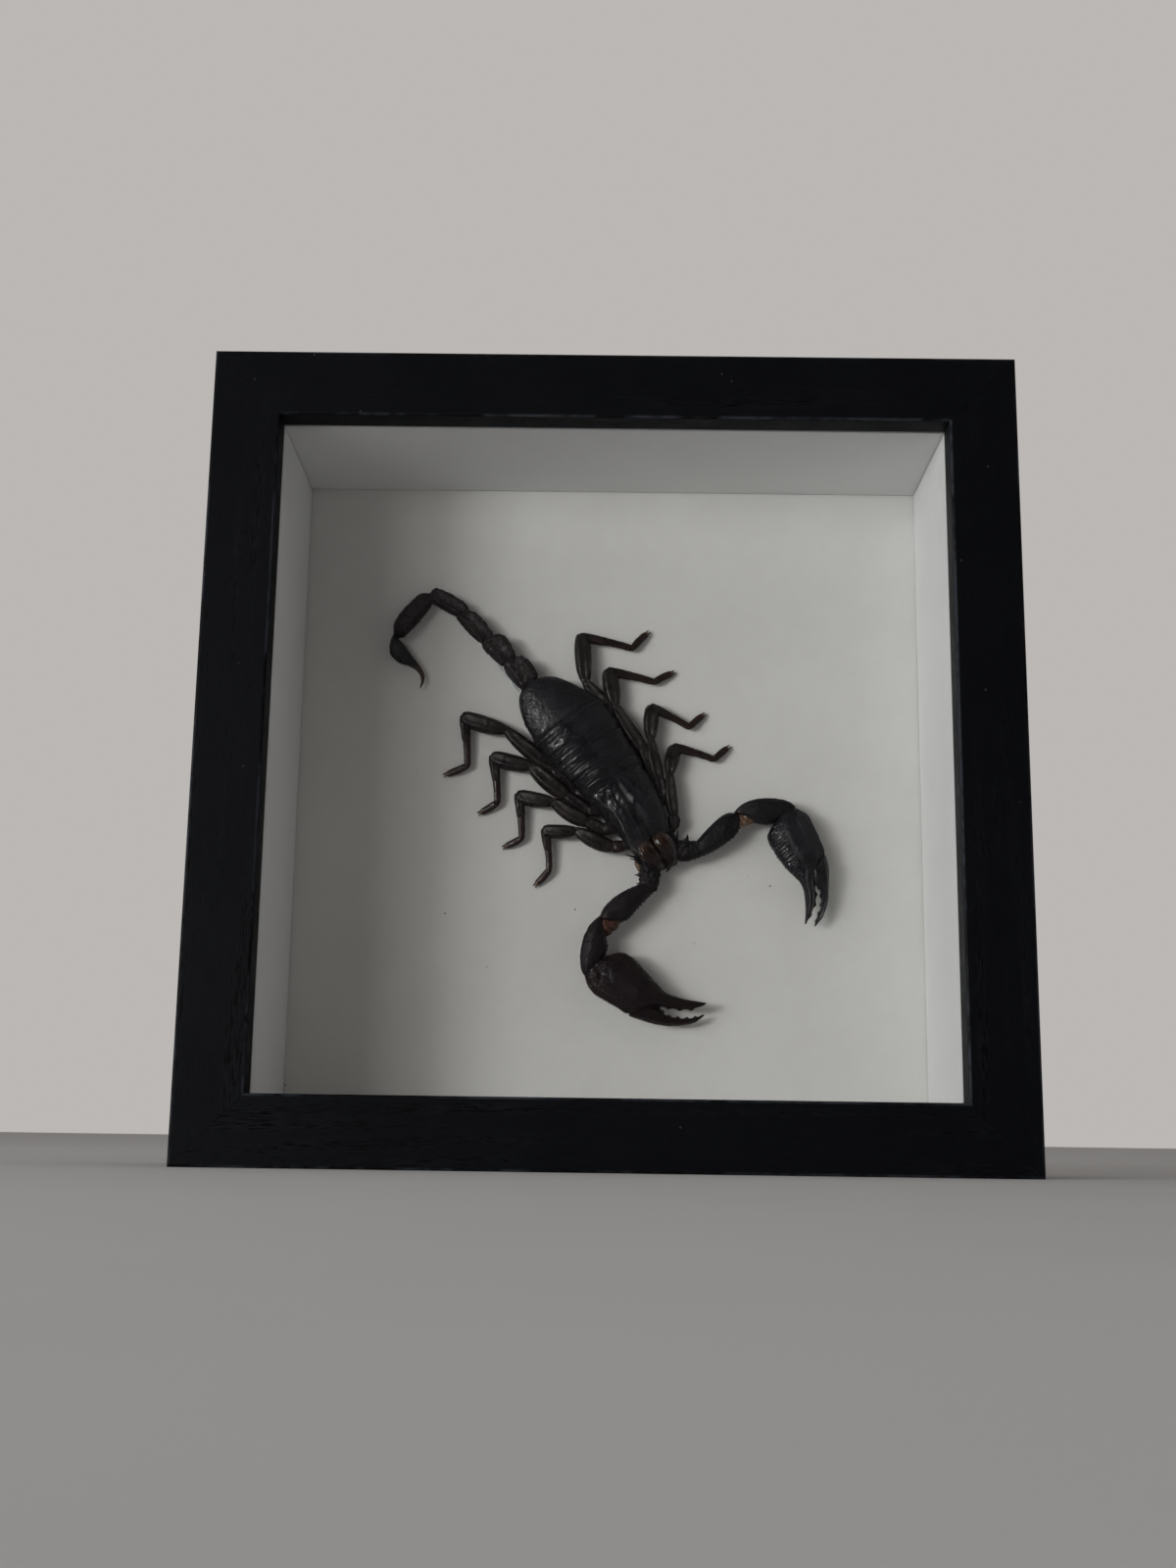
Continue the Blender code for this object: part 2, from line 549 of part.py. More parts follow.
def make_legs(finish):
    """Eight legs, each cut clear of the body and of the leg in front of it."""
    for name in LEGS:
        cutters = [skin(name + "_clear_of_body", body_rings(GAP), None)]
        stem, number = name[:-1], int(name[-1])
        if number > 1:
            cutters += leg_parts(f"{stem}{number - 1}", GAP)
        carve(name, finish["dark_leg"], leg_parts(name), cutters)


def make_tail(finish):
    """Five tail segments fused in one piece, and the sting bulb behind them."""
    solids = []
    for number, (*edges, height, thick) in enumerate(TAIL):
        swells = (0.62, 0.95, 1.0, 0.7)
        rows = [(left, right, height, thick * swell) for (left, right), swell in zip(edges, swells)]
        solids.append(skin(f"tail_segment_{number}", slab_rings(rows, TAIL_SIDES), None))
    cutters = [skin("tail_clear_of_body", body_rings(GAP), None),
               skin("tail_clear_of_sting", slab_rings(STING, TAIL_SIDES, GAP), None)]
    carve("tail", finish["black_shell"], solids, cutters)
    skin("sting", slab_rings(STING, TAIL_SIDES), finish["black_shell"])


def spine(name, root, direction, tall=SPINE_LENGTH):
    """A short pointed spine in specimen coordinates."""
    root, direction = Vector(root), Vector(direction).normalized()
    start = root - direction * 0.6
    tip = root + direction * tall
    rings = tube_rings([start, root, tip], (SPINE_RADIUS, SPINE_RADIUS, 0.1), 1.0, 4)
    return skin(name, rings, None)


def arm_parts(name, arm):
    """Solids of one pincer arm from its coxa to the wrist, with the saw of spines on its femur."""
    solids = [skin(f"{name}_{part}", slab_rings(rows, ARM_SIDES), None)
              for part, rows in arm.items() if part != "spines"]
    first, middle, last, height = arm["spines"]
    for k in range(ARM_SPINES):
        t = k / (ARM_SPINES - 1)
        place = [(1 - t) ** 2 * a + 2 * t * (1 - t) * b + t * t * c
                 for a, b, c in zip(first, middle, last)]
        solids.append(spine(f"{name}_spine_{k}", (place[0] - 0.3, place[1], height), (1.0, 0.0, 0.0)))
    return solids


def hand_parts(name, rows):
    """A pincer hand with its fixed finger and the saw of spines on its inner edge."""
    solids = [skin(name + "_shell", slab_rings(rows, ARM_SIDES), None)]
    edge = [Vector((*row[1], row[2])) for row in rows[1:6]]
    outward = -1.0 if edge[0].y > 0 else 1.0
    for k in range(ARM_SPINES):
        place = 0.4 + k * (len(edge) - 1.6) / (ARM_SPINES - 1)
        step = int(place)
        root = edge[step].lerp(edge[step + 1], place - step)
        solids.append(spine(f"{name}_spine_{k}", root, (0.25, outward, 0.0), SPINE_LENGTH * 0.8))
    return solids


def make_front(finish):
    """Chelicerae, pincer arms, pincer hands and movable fingers."""
    shell = finish["black_shell"]
    for name, rows in CHELICERAE.items():
        path = [row[:3] for row in rows]
        widths = [row[3] for row in rows]
        rings = tube_rings(path, widths, 0.8, CHELICERA_SIDES)
        body = skin(name + "_clear_of_body", body_rings(GAP), None)
        carve(name, finish["brown_shell"], [skin(name + "_blank", rings, None)], [body])
    for side, arm, hand, finger in (("left", ARM_LEFT, HAND_LEFT, FINGER_LEFT),
                                    ("right", ARM_RIGHT, HAND_RIGHT, FINGER_RIGHT)):
        name = "pincer_arm_" + side
        cutters = [skin(name + "_clear_of_body", body_rings(GAP), None)]
        for other, rows in CHELICERAE.items():
            rings = tube_rings([row[:3] for row in rows], [row[3] for row in rows], 0.8,
                               CHELICERA_SIDES, GAP)
            cutters.append(skin(name + "_clear_of_" + other, rings, None))
        cutters += leg_parts("leg_" + side + "_1", GAP)
        cutters.append(skin(name + "_clear_of_hand", slab_rings(hand, ARM_SIDES, GAP), None))
        carve(name, shell, arm_parts(name, arm), cutters)
        clear = skin("hand_clear_of_finger", slab_rings(finger, ARM_SIDES, GAP), None)
        carve("pincer_hand_" + side, shell, hand_parts("pincer_hand_" + side, hand), [clear])
        skin("pincer_finger_" + side, slab_rings(finger, ARM_SIDES), shell)


def make_specimen(finish):
    """The dry scorpion, fixed flat on the backing paper."""
    skin("body", body_rings(), finish["black_shell"])
    make_legs(finish)
    make_tail(finish)
    make_front(finish)
    rings = tube_rings(GLUE_STRAND, [GLUE_RADIUS] * len(GLUE_STRAND), 1.0, 6)
    skin("glue_strand", rings, finish["clear_glue"])


def main():
    """Build the whole part."""
    clear_scene()
    finish = make_finishes()
    make_frame(finish)
    make_specimen(finish)


main()
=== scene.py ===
"""Looks of the framed scorpion specimen: fine shapes, finishes, light and camera.

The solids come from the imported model. The box frame's sizes are read from their boxes. The
specimen has its own coordinates in millimetres: along (towards its head), left (towards its
own left side) and height above the backing paper.
"""

import logging
import math
from collections.abc import Callable, Sequence
from dataclasses import dataclass, field
from enum import Enum

import bmesh
import bpy
import numpy as np
from mathutils import Matrix, Vector, noise


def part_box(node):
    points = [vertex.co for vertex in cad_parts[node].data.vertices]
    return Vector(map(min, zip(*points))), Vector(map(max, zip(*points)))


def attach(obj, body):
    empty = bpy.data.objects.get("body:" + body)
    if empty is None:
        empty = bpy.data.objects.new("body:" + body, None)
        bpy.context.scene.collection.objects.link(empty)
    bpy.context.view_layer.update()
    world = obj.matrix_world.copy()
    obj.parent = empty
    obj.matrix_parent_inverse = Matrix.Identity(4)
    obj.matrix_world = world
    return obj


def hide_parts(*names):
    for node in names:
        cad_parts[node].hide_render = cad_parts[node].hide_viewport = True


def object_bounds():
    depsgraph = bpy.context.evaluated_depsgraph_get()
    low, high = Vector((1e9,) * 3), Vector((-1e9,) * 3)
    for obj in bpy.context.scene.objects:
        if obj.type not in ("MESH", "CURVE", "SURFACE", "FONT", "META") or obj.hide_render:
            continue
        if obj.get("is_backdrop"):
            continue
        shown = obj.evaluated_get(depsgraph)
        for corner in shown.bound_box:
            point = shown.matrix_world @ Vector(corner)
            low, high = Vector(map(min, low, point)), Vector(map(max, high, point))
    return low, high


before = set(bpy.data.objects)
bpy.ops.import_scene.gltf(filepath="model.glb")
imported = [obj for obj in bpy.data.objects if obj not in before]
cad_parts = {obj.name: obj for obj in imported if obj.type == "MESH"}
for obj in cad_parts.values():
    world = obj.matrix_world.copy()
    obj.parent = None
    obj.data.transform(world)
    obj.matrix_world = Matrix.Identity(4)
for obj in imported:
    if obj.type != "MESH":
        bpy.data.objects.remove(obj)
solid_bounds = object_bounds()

LOG = logging.getLogger("framed_scorpion")
MM = 0.001
GAP = 0.3
BODY = "root"

SHARP_RAIL = math.radians(32)
SHARP_SHEET = math.radians(40)
BRISTLE_SIDES = 4
SPINE_SIDES = 7
SUNK_SHARE = -0.2
TABS = 8

Pair = tuple[float, float]
Point = tuple[float, float, float]
Colour = tuple[float, float, float]
Row = tuple[Pair, Pair, float, float]


def rgba(colour: Colour) -> tuple[float, float, float, float]:
    """A colour with full alpha."""
    return (*colour, 1.0)


# Node trees

class Tree:
    """Adds nodes to one node tree and feeds their inputs."""

    def __init__(self, tree: bpy.types.NodeTree) -> None:
        """Keep the tree."""
        self.tree = tree

    def feed(self, socket: bpy.types.NodeSocket, value: object) -> None:
        """Set an input to a value, or join it to another node's output.

        Args:
            socket: the input.
            value: a plain value, an output socket, or None to leave the input as it is.
        """
        if isinstance(value, bpy.types.NodeSocket):
            self.tree.links.new(value, socket)
        elif value is not None:
            socket.default_value = value

    def add(self, kind: str, inputs: dict | None = None, **settings: object) -> bpy.types.Node:
        """Add one node.

        Args:
            kind: the node's type.
            inputs: what its inputs take, by name or number.
            settings: its own settings.

        Returns:
            The node.
        """
        node = self.tree.nodes.new(kind)
        for key, value in settings.items():
            setattr(node, key, value)
        for key, value in (inputs or {}).items():
            self.feed(node.inputs[key], value)
        return node

    def maths(self, operation: str, first: object, second: object = None) -> bpy.types.NodeSocket:
        """The result of a sum of one or two numbers.

        Args:
            operation: the sum.
            first: a number, plain or from another node.
            second: a second one, where the sum takes two.

        Returns:
            The result.
        """
        node = self.add("ShaderNodeMath", {0: first, 1: second}, operation=operation)
        return node.outputs[0]

    def fit(self, value: object, low: float, high: float, to_low: float = 0.0,
            to_high: float = 1.0) -> bpy.types.NodeSocket:
        """Carry a value smoothly from one range to another, and hold it inside that.

        Args:
            value: the value.
            low: where its range starts.
            high: where it ends.
            to_low: what low becomes.
            to_high: what high becomes.

        Returns:
            The new value.
        """
        node = self.add("ShaderNodeMapRange", {0: value, 1: low, 2: high, 3: to_low, 4: to_high},
                        interpolation_type="SMOOTHSTEP")
        return node.outputs[0]

    def vector(self, operation: str, first: object, second: object) -> bpy.types.NodeSocket:
        """The result of a sum of two vectors."""
        node = self.add("ShaderNodeVectorMath", {0: first, 1: second}, operation=operation)
        return node.outputs[0]

    def noise(self, vector: object, scale: object, **inputs: float) -> bpy.types.Node:
        """A noise texture, with its other inputs by name."""
        return self.add("ShaderNodeTexNoise", {"Vector": vector, "Scale": scale, **inputs})

    def mixed(self, share: object, first: object, second: object,
              most: float = 1.0) -> bpy.types.NodeSocket:
        """Mix two colours.

        Args:
            share: how much of the second there is, from 0 to 1.
            first: a colour, plain or from another node.
            second: a colour, plain or from another node.
            most: what the share is multiplied by.

        Returns:
            The mixed colour.
        """
        node = self.add("ShaderNodeMix", data_type="RGBA")
        if most != 1.0:
            share = self.maths("MULTIPLY", share, most)
        for number, value in ((0, share), (6, first), (7, second)):
            self.feed(node.inputs[number], rgba(value) if isinstance(value, tuple) else value)
        return node.outputs[2]

    def attribute(self, name: str) -> bpy.types.NodeSocket:
        """The value of a mark on the mesh, 0 where the mesh has none."""
        return self.add("ShaderNodeAttribute", attribute_name=name).outputs["Fac"]

    def bump(self, height: object, strength: float, distance: float,
             normal: object = None) -> bpy.types.NodeSocket:
        """Bend the normal by a height.

        Args:
            height: the height.
            strength: how much of it counts.
            distance: how high 1 is, in metres.
            normal: an already bent normal.

        Returns:
            The bent normal.
        """
        node = self.add("ShaderNodeBump", {"Height": height, "Strength": strength,
                                           "Distance": distance, "Normal": normal})
        return node.outputs[0]


@dataclass(frozen=True)
class Effect:
    """A shader node group: its named inputs with their usual values, and its outputs."""

    name: str
    inputs: dict[str, float]
    outputs: tuple[str, ...]
    make: Callable[[Tree, bpy.types.Node], tuple[bpy.types.NodeSocket, ...]]

    def group(self) -> bpy.types.NodeTree:
        """Find the node group, or build it the first time that it is asked for.

        Returns:
            The group.
        """
        made = bpy.data.node_groups.get(self.name)
        if made is not None:
            return made
        made = bpy.data.node_groups.new(self.name, "ShaderNodeTree")
        made.interface.new_socket("Vector", in_out="INPUT", socket_type="NodeSocketVector")
        for name, value in self.inputs.items():
            socket = made.interface.new_socket(name, in_out="INPUT", socket_type="NodeSocketFloat")
            socket.default_value = value
        for name in self.outputs:
            made.interface.new_socket(name, in_out="OUTPUT", socket_type="NodeSocketFloat")
        tree = Tree(made)
        start = tree.add("NodeGroupInput")
        end = tree.add("NodeGroupOutput")
        for number, value in enumerate(self.make(tree, start)):
            tree.feed(end.inputs[number], value)
        return made

    def place(self, tree: Tree, vector: object, **values: float) -> bpy.types.NodeSocket:
        """Put the group in a material.

        Args:
            tree: the material's tree.
            vector: the coordinates that it reads.
            values: its inputs, with underscores for spaces.

        Returns:
            The group's outputs.
        """
        node = tree.add("ShaderNodeGroup", node_tree=self.group())
        tree.feed(node.inputs["Vector"], vector)
        for name, value in values.items():
            tree.feed(node.inputs[name.replace("_", " ")], value)
        return node.outputs


def mottle_nodes(tree: Tree, start: bpy.types.Node) -> tuple[bpy.types.NodeSocket, ...]:
    """Soft uneven tone made of a coarse and a fine noise.

    Args:
        tree: the group's tree.
        start: its input node.

    Returns:
        The tone, from 0 to 1.
    """
    coarse = tree.noise(start.outputs["Vector"], start.outputs["Scale"], Detail=3.0)
    fine_scale = tree.maths("MULTIPLY", start.outputs["Scale"], 5.3)
    fine = tree.noise(start.outputs["Vector"], fine_scale, Detail=2.0)
    both = tree.maths("ADD", tree.maths("MULTIPLY", coarse.outputs[0], 0.65),
                      tree.maths("MULTIPLY", fine.outputs[0], 0.35))
    return (tree.fit(both, 0.32, 0.68),)


def dust_nodes(tree: Tree, start: bpy.types.Node) -> tuple[bpy.types.NodeSocket, ...]:
    """Tiny specks that lie here and there.

    Args:
        tree: the group's tree.
        start: its input node.

    Returns:
        1 on the specks and 0 beside them.
    """
    cells = tree.add("ShaderNodeTexVoronoi", {"Vector": start.outputs["Vector"],
                                              "Scale": start.outputs["Scale"], "Randomness": 1.0})
    near = tree.fit(cells.outputs["Distance"], 0.06, 0.13, 1.0, 0.0)
    chance = tree.add("ShaderNodeSeparateColor", {0: cells.outputs["Color"]}).outputs[0]
    kept = tree.maths("LESS_THAN", chance, start.outputs["Share"])
    return (tree.maths("MULTIPLY", near, kept),)


def pore_nodes(tree: Tree, start: bpy.types.Node) -> tuple[bpy.types.NodeSocket, ...]:
    """Long open pores and the bands that they gather in. The grain runs along X.

    Args:
        tree: the group's tree.
        start: its input node.

    Returns:
        The pores, the bands and the fibre, each from 0 to 1.
    """
    warp = tree.noise(start.outputs["Vector"], 9.0)
    bend = tree.vector("SUBTRACT", warp.outputs[1], (0.5, 0.5, 0.5))
    bent = tree.vector("MULTIPLY", bend, (0.004, 0.004, 0.004))
    place = tree.vector("ADD", start.outputs["Vector"], bent)
    bands, pores, fibre = (
        tree.noise(tree.vector("MULTIPLY", place, stretch), 1.0, Detail=detail).outputs[0]
        for stretch, detail in (((7.0, 190.0, 190.0), 1.0), ((230.0, 3300.0, 3300.0), 2.0),
                                ((60.0, 4200.0, 4200.0), 2.0)))
    band = tree.fit(bands, 0.49, 0.66)
    edge = tree.maths("SUBTRACT", start.outputs["Spareness"], tree.maths("MULTIPLY", band, 0.145))
    above = tree.maths("SUBTRACT", pores, edge)
    return tree.fit(above, 0.0, 0.06), band, fibre


def shell_nodes(tree: Tree, start: bpy.types.Node) -> tuple[bpy.types.NodeSocket, ...]:
    """Fine pits and a leathery net of wrinkles on horny shell.

    Args:
        tree: the group's tree.
        start: its input node.

    Returns:
        The height of the relief.
    """
    pits = tree.add("ShaderNodeTexVoronoi", {"Vector": start.outputs["Vector"],
                                             "Scale": start.outputs["Pit Scale"]})
    pit = tree.fit(pits.outputs["Distance"], 0.1, 0.45)
    folds = tree.noise(start.outputs["Vector"], start.outputs["Wrinkle Scale"], Detail=4.0)
    deep = tree.maths("MULTIPLY", pit, start.outputs["Pit Depth"])
    return (tree.maths("ADD", deep, folds.outputs[0]),)


MOTTLE = Effect("uneven_tone", {"Scale": 100.0}, ("Tone",), mottle_nodes)
DUST = Effect("settled_dust", {"Scale": 260.0, "Share": 0.1}, ("Specks",), dust_nodes)
PORES = Effect("open_pored_grain", {"Spareness": 0.70}, ("Pores", "Bands", "Fibre"), pore_nodes)
SHELL = Effect("horny_shell", {"Pit Scale": 1800.0, "Pit Depth": 0.4, "Wrinkle Scale": 900.0},
               ("Height",), shell_nodes)


# Finishes

def new_material(name: str, view_colour: Colour) -> tuple[
        bpy.types.Material, Tree, bpy.types.Node, bpy.types.NodeSocket]:
    """Start a material that reads Object coordinates.

    Args:
        name: its name.
        view_colour: its plain colour in the viewport.

    Returns:
        The material, its tree, its Principled shader and the coordinates.
    """
    material = bpy.data.materials.new(name)
    material.use_nodes = True
    material.diffuse_color = rgba(view_colour)
    tree = Tree(material.node_tree)
    where = tree.add("ShaderNodeTexCoord").outputs["Object"]
    return material, tree, material.node_tree.nodes["Principled BSDF"], where


class Grain(Enum):
    """Which way the grain of a rail runs."""

    ACROSS = (0.0, 0.0, 0.0)
    UPRIGHT = (0.0, math.pi / 2, 0.0)


@dataclass(frozen=True)
class StainedWood:
    """Black stain on open-pored wood, with a paler line along its edges: a little wear and a painted
    highlight.
    """

    grain: Grain
    stain: Colour = (0.0034, 0.0038, 0.0050)
    band: Colour = (0.0064, 0.0070, 0.0088)
    pore: Colour = (0.0016, 0.0017, 0.0022)
    # Paler bluish colour along the edges and how much of it shows: partly wear, partly a painted
    # highlight.
    worn_highlight: Colour = (0.050, 0.055, 0.070)
    dust: Colour = (0.050, 0.050, 0.050)
    spareness: float = 0.665
    wear_highlight: float = 0.7
    specular: float = 0.06

    def make(self) -> bpy.types.Material:
        """Build the material.

        Returns:
            The material.
        """
        name = f"stained_wood_{self.grain.name.lower()}"
        material, tree, shader, where = new_material(name, self.stain)
        turned = tree.add("ShaderNodeMapping",
                          {"Vector": where, "Rotation": self.grain.value}).outputs[0]
        pores, bands, fibre = PORES.place(tree, turned, Spareness=self.spareness)
        tone = MOTTLE.place(tree, turned, Scale=45.0)[0]
        specks = DUST.place(tree, where, Scale=330.0, Share=0.02)[0]
        colour = tree.mixed(tree.maths("MULTIPLY", bands, tone), self.stain, self.band)
        colour = tree.mixed(tree.fit(fibre, 0.35, 0.75, 0.0, 0.35), colour, self.band)
        colour = tree.mixed(pores, colour, self.pore)
        # Paler edge colour from the edge mark: wear together with a painted highlight on the rounded
        # edges.
        rub_highlight = tree.maths("MULTIPLY", tree.attribute("edge_wear_highlight"), tree.fit(tone, 0.2, 0.9))
        colour = tree.mixed(rub_highlight, colour, self.worn_highlight, self.wear_highlight)
        tree.feed(shader.inputs["Base Color"], tree.mixed(specks, colour, self.dust))
        rough = tree.fit(tone, 0.0, 1.0, 0.46, 0.60)
        tree.feed(shader.inputs["Roughness"],
                  tree.maths("ADD", rough, tree.maths("MULTIPLY", pores, 0.2)))
        fine = tree.bump(fibre, 0.25, 0.00005)
        relief = tree.maths("SUBTRACT", 1.0, pores)
        tree.feed(shader.inputs["Normal"], tree.bump(relief, 0.45, 0.00012, fine))
        shader.inputs["Specular IOR Level"].default_value = self.specular
        return material


@dataclass(frozen=True)
class Board:
    """Paper-faced board: its tone, its paper tooth and the specks in it."""

    name: str
    face: Colour
    shade: Colour
    tooth_size: float
    tooth: float
    specks: float
    speck: Colour = (0.26, 0.23, 0.20)
    specular: float = 0.3

    def make(self) -> bpy.types.Material:
        """Build the material.

        Returns:
            The material.
        """
        material, tree, shader, where = new_material(self.name, self.face)
        tone = MOTTLE.place(tree, where, Scale=28.0)[0]
        dirt = DUST.place(tree, where, Scale=280.0, Share=self.specks)[0]
        weave = tree.noise(where, 1.0 / self.tooth_size, Detail=5.0, Roughness=0.62)
        fine = tree.fit(weave.outputs[0], 0.3, 0.7)
        colour = tree.mixed(tone, self.face, self.shade, 0.55)
        colour = tree.mixed(fine, colour, self.shade, 0.22)
        tree.feed(shader.inputs["Base Color"], tree.mixed(dirt, colour, self.speck))
        tree.feed(shader.inputs["Roughness"], tree.fit(fine, 0.0, 1.0, 0.74, 0.9))
        tree.feed(shader.inputs["Normal"], tree.bump(weave.outputs[0], self.tooth, 0.0004))
        shader.inputs["Specular IOR Level"].default_value = self.specular
        return material


@dataclass(frozen=True)
class Pane:
    """Clear picture glass. Lamps shine through it unbent."""

    name: str = "front_glass"
    ior: float = 1.5
    haze: float = 0.008

    def make(self) -> bpy.types.Material:
        """Build the material.

        Returns:
            The material.
        """
        material, tree, shader, where = new_material(self.name, (0.9, 0.95, 0.95))
        tone = MOTTLE.place(tree, where, Scale=14.0)[0]
        shader.inputs["Base Color"].default_value = (1.0, 1.0, 1.0, 1.0)
        shader.inputs["Transmission Weight"].default_value = 1.0
        shader.inputs["IOR"].default_value = self.ior
        tree.feed(shader.inputs["Roughness"], tree.fit(tone, 0.5, 1.0, 0.0, self.haze))
        clear = tree.add("ShaderNodeBsdfTransparent")
        rays = tree.add("ShaderNodeLightPath")
        lets = tree.maths("MAXIMUM", rays.outputs["Is Shadow Ray"], rays.outputs["Is Diffuse Ray"])
        both = tree.add("ShaderNodeMixShader", {0: lets, 1: shader.outputs[0], 2: clear.outputs[0]})
        output = material.node_tree.nodes["Material Output"]
        tree.feed(output.inputs["Surface"], both.outputs[0])
        return material


@dataclass(frozen=True)
class PressedBoard:
    """Brown pressed fibre board with a smooth, slightly marked face."""

    name: str = "pressed_board"
    light: Colour = (0.255, 0.150, 0.078)
    dark: Colour = (0.135, 0.072, 0.036)
    chip: Colour = (0.34, 0.22, 0.13)

    def make(self) -> bpy.types.Material:
        """Build the material.

        Returns:
            The material.
        """
        material, tree, shader, where = new_material(self.name, self.light)
        tone = MOTTLE.place(tree, where, Scale=22.0)[0]
        specks = DUST.place(tree, where, Scale=420.0, Share=0.35)[0]
        felt = tree.noise(where, 700.0, Detail=5.0, Roughness=0.7, Distortion=1.2)
        fibre = tree.fit(felt.outputs[0], 0.35, 0.68)
        colour = tree.mixed(tone, self.light, self.dark)
        colour = tree.mixed(fibre, colour, self.dark, 0.5)
        tree.feed(shader.inputs["Base Color"], tree.mixed(specks, colour, self.chip, 0.6))
        tree.feed(shader.inputs["Roughness"], tree.fit(fibre, 0.0, 1.0, 0.5, 0.72))
        tree.feed(shader.inputs["Normal"], tree.bump(felt.outputs[0], 0.4, 0.0003))
        return material


@dataclass(frozen=True)
class BrightSteel:
    """Thin rolled steel with fine draw lines and a little tarnish."""

    name: str = "tab_steel"
    bright: Colour = (0.56, 0.56, 0.57)
    dull: Colour = (0.30, 0.285, 0.27)

    def make(self) -> bpy.types.Material:
        """Build the material.

        Returns:
            The material.
        """
        material, tree, shader, where = new_material(self.name, self.bright)
        tone = MOTTLE.place(tree, where, Scale=260.0)[0]
        lines_at = tree.add("ShaderNodeMapping", {"Vector": where, "Scale": (9000.0, 400.0, 400.0)})
        lines = tree.noise(lines_at.outputs[0], 1.0, Detail=2.0)
        tree.feed(shader.inputs["Base Color"], tree.mixed(tone, self.bright, self.dull, 0.6))
        tree.feed(shader.inputs["Roughness"], tree.fit(lines.outputs[0], 0.3, 0.7, 0.22, 0.46))
        tree.feed(shader.inputs["Normal"], tree.bump(lines.outputs[0], 0.15, 0.00005))
        shader.inputs["Metallic"].default_value = 1.0
        return material


@dataclass(frozen=True)
class HornyShell:
    """Dry shell of the animal. Marks on the mesh turn it rusty or pale."""

    name: str
    dark: Colour
    light: Colour
    rust: Colour = (0.022, 0.0085, 0.0065)
    pale: Colour = (0.20, 0.13, 0.08)
    smooth: float = 0.26
    rough: float = 0.46
    pits: float = 0.4
    wrinkle_scale: float = 900.0
    relief: float = 0.35
    coat: float = 0.0
    shine: float = 0.24
    dust: float = 0.10
    dust_tone: Colour = (0.12, 0.115, 0.11)
    gloss_gain: float = 0.18
    matt_gain: float = 0.25
    coat_rough: float = 0.12

    def make(self) -> bpy.types.Material:
        """Build the material.

        Returns:
            The material.
        """
        material, tree, shader, where = new_material(self.name, self.dark)
        tone = MOTTLE.place(tree, where, Scale=190.0)[0]
        height = SHELL.place(tree, where, Pit_Depth=self.pits, Wrinkle_Scale=self.wrinkle_scale)[0]
        specks = DUST.place(tree, where, Scale=330.0, Share=self.dust)[0]
        colour = tree.mixed(tone, self.dark, self.light)
        rusty = tree.maths("MULTIPLY", tree.attribute("rust"), tree.fit(tone, 0.0, 1.0, 0.65, 1.0))
        colour = tree.mixed(rusty, colour, self.rust)
        colour = tree.mixed(tree.attribute("pale"), colour, self.pale)
        tree.feed(shader.inputs["Base Color"], tree.mixed(specks, colour, self.dust_tone, 0.5))
        rough = tree.fit(tone, 0.0, 1.0, self.smooth, self.rough)
        for operation, source, gain in (("ADD", specks, 0.3),
                                        ("SUBTRACT", tree.attribute("gloss"), self.gloss_gain),
                                        ("ADD", tree.attribute("matt"), self.matt_gain)):
            rough = tree.maths(operation, rough, tree.maths("MULTIPLY", source, gain))
        tree.feed(shader.inputs["Roughness"], rough)
        tree.feed(shader.inputs["Normal"], tree.bump(height, self.relief, 0.00012))
        shader.inputs["Specular IOR Level"].default_value = self.shine
        wet = tree.fit(tree.attribute("wet"), 0.0, 1.0, self.coat, 1.0)
        tree.feed(shader.inputs["Coat Weight"], wet)
        shader.inputs["Coat Roughness"].default_value = self.coat_rough
        return material


@dataclass(frozen=True)
class DriedGlue:
    """Clear glue, dried to a thin glassy strand."""

    name: str = "clear_glue"
    clear: Colour = (0.62, 0.67, 0.71)
    cloudy: Colour = (0.42, 0.47, 0.51)
    transmission: float = 0.30
    ior: float = 1.48

    def make(self) -> bpy.types.Material:
        """Build the material.

        Returns:
            The material.
        """
        material, tree, shader, where = new_material(self.name, (0.8, 0.82, 0.84))
        tone = MOTTLE.place(tree, where, Scale=700.0)[0]
        tree.feed(shader.inputs["Base Color"], tree.mixed(tone, self.clear, self.cloudy))
        tree.feed(shader.inputs["Roughness"], tree.fit(tone, 0.0, 1.0, 0.08, 0.22))
        tree.feed(shader.inputs["Normal"], tree.bump(tone, 0.3, 0.00008))
        shader.inputs["Transmission Weight"].default_value = self.transmission
        shader.inputs["IOR"].default_value = self.ior
        return material


@dataclass(frozen=True)
class StudioFloor:
    """Plain pale floor."""

    name: str = "pale_floor"
    pale: Colour = (0.70, 0.70, 0.70)
    shade: Colour = (0.67, 0.67, 0.675)

    def make(self) -> bpy.types.Material:
        """Build the material.

        Returns:
            The material.
        """
        material, tree, shader, where = new_material(self.name, (0.6, 0.6, 0.6))
        tone = MOTTLE.place(tree, where, Scale=3.0)[0]
        tree.feed(shader.inputs["Base Color"], tree.mixed(tone, self.pale, self.shade))
        shader.inputs["Roughness"].default_value = 0.85
        return material


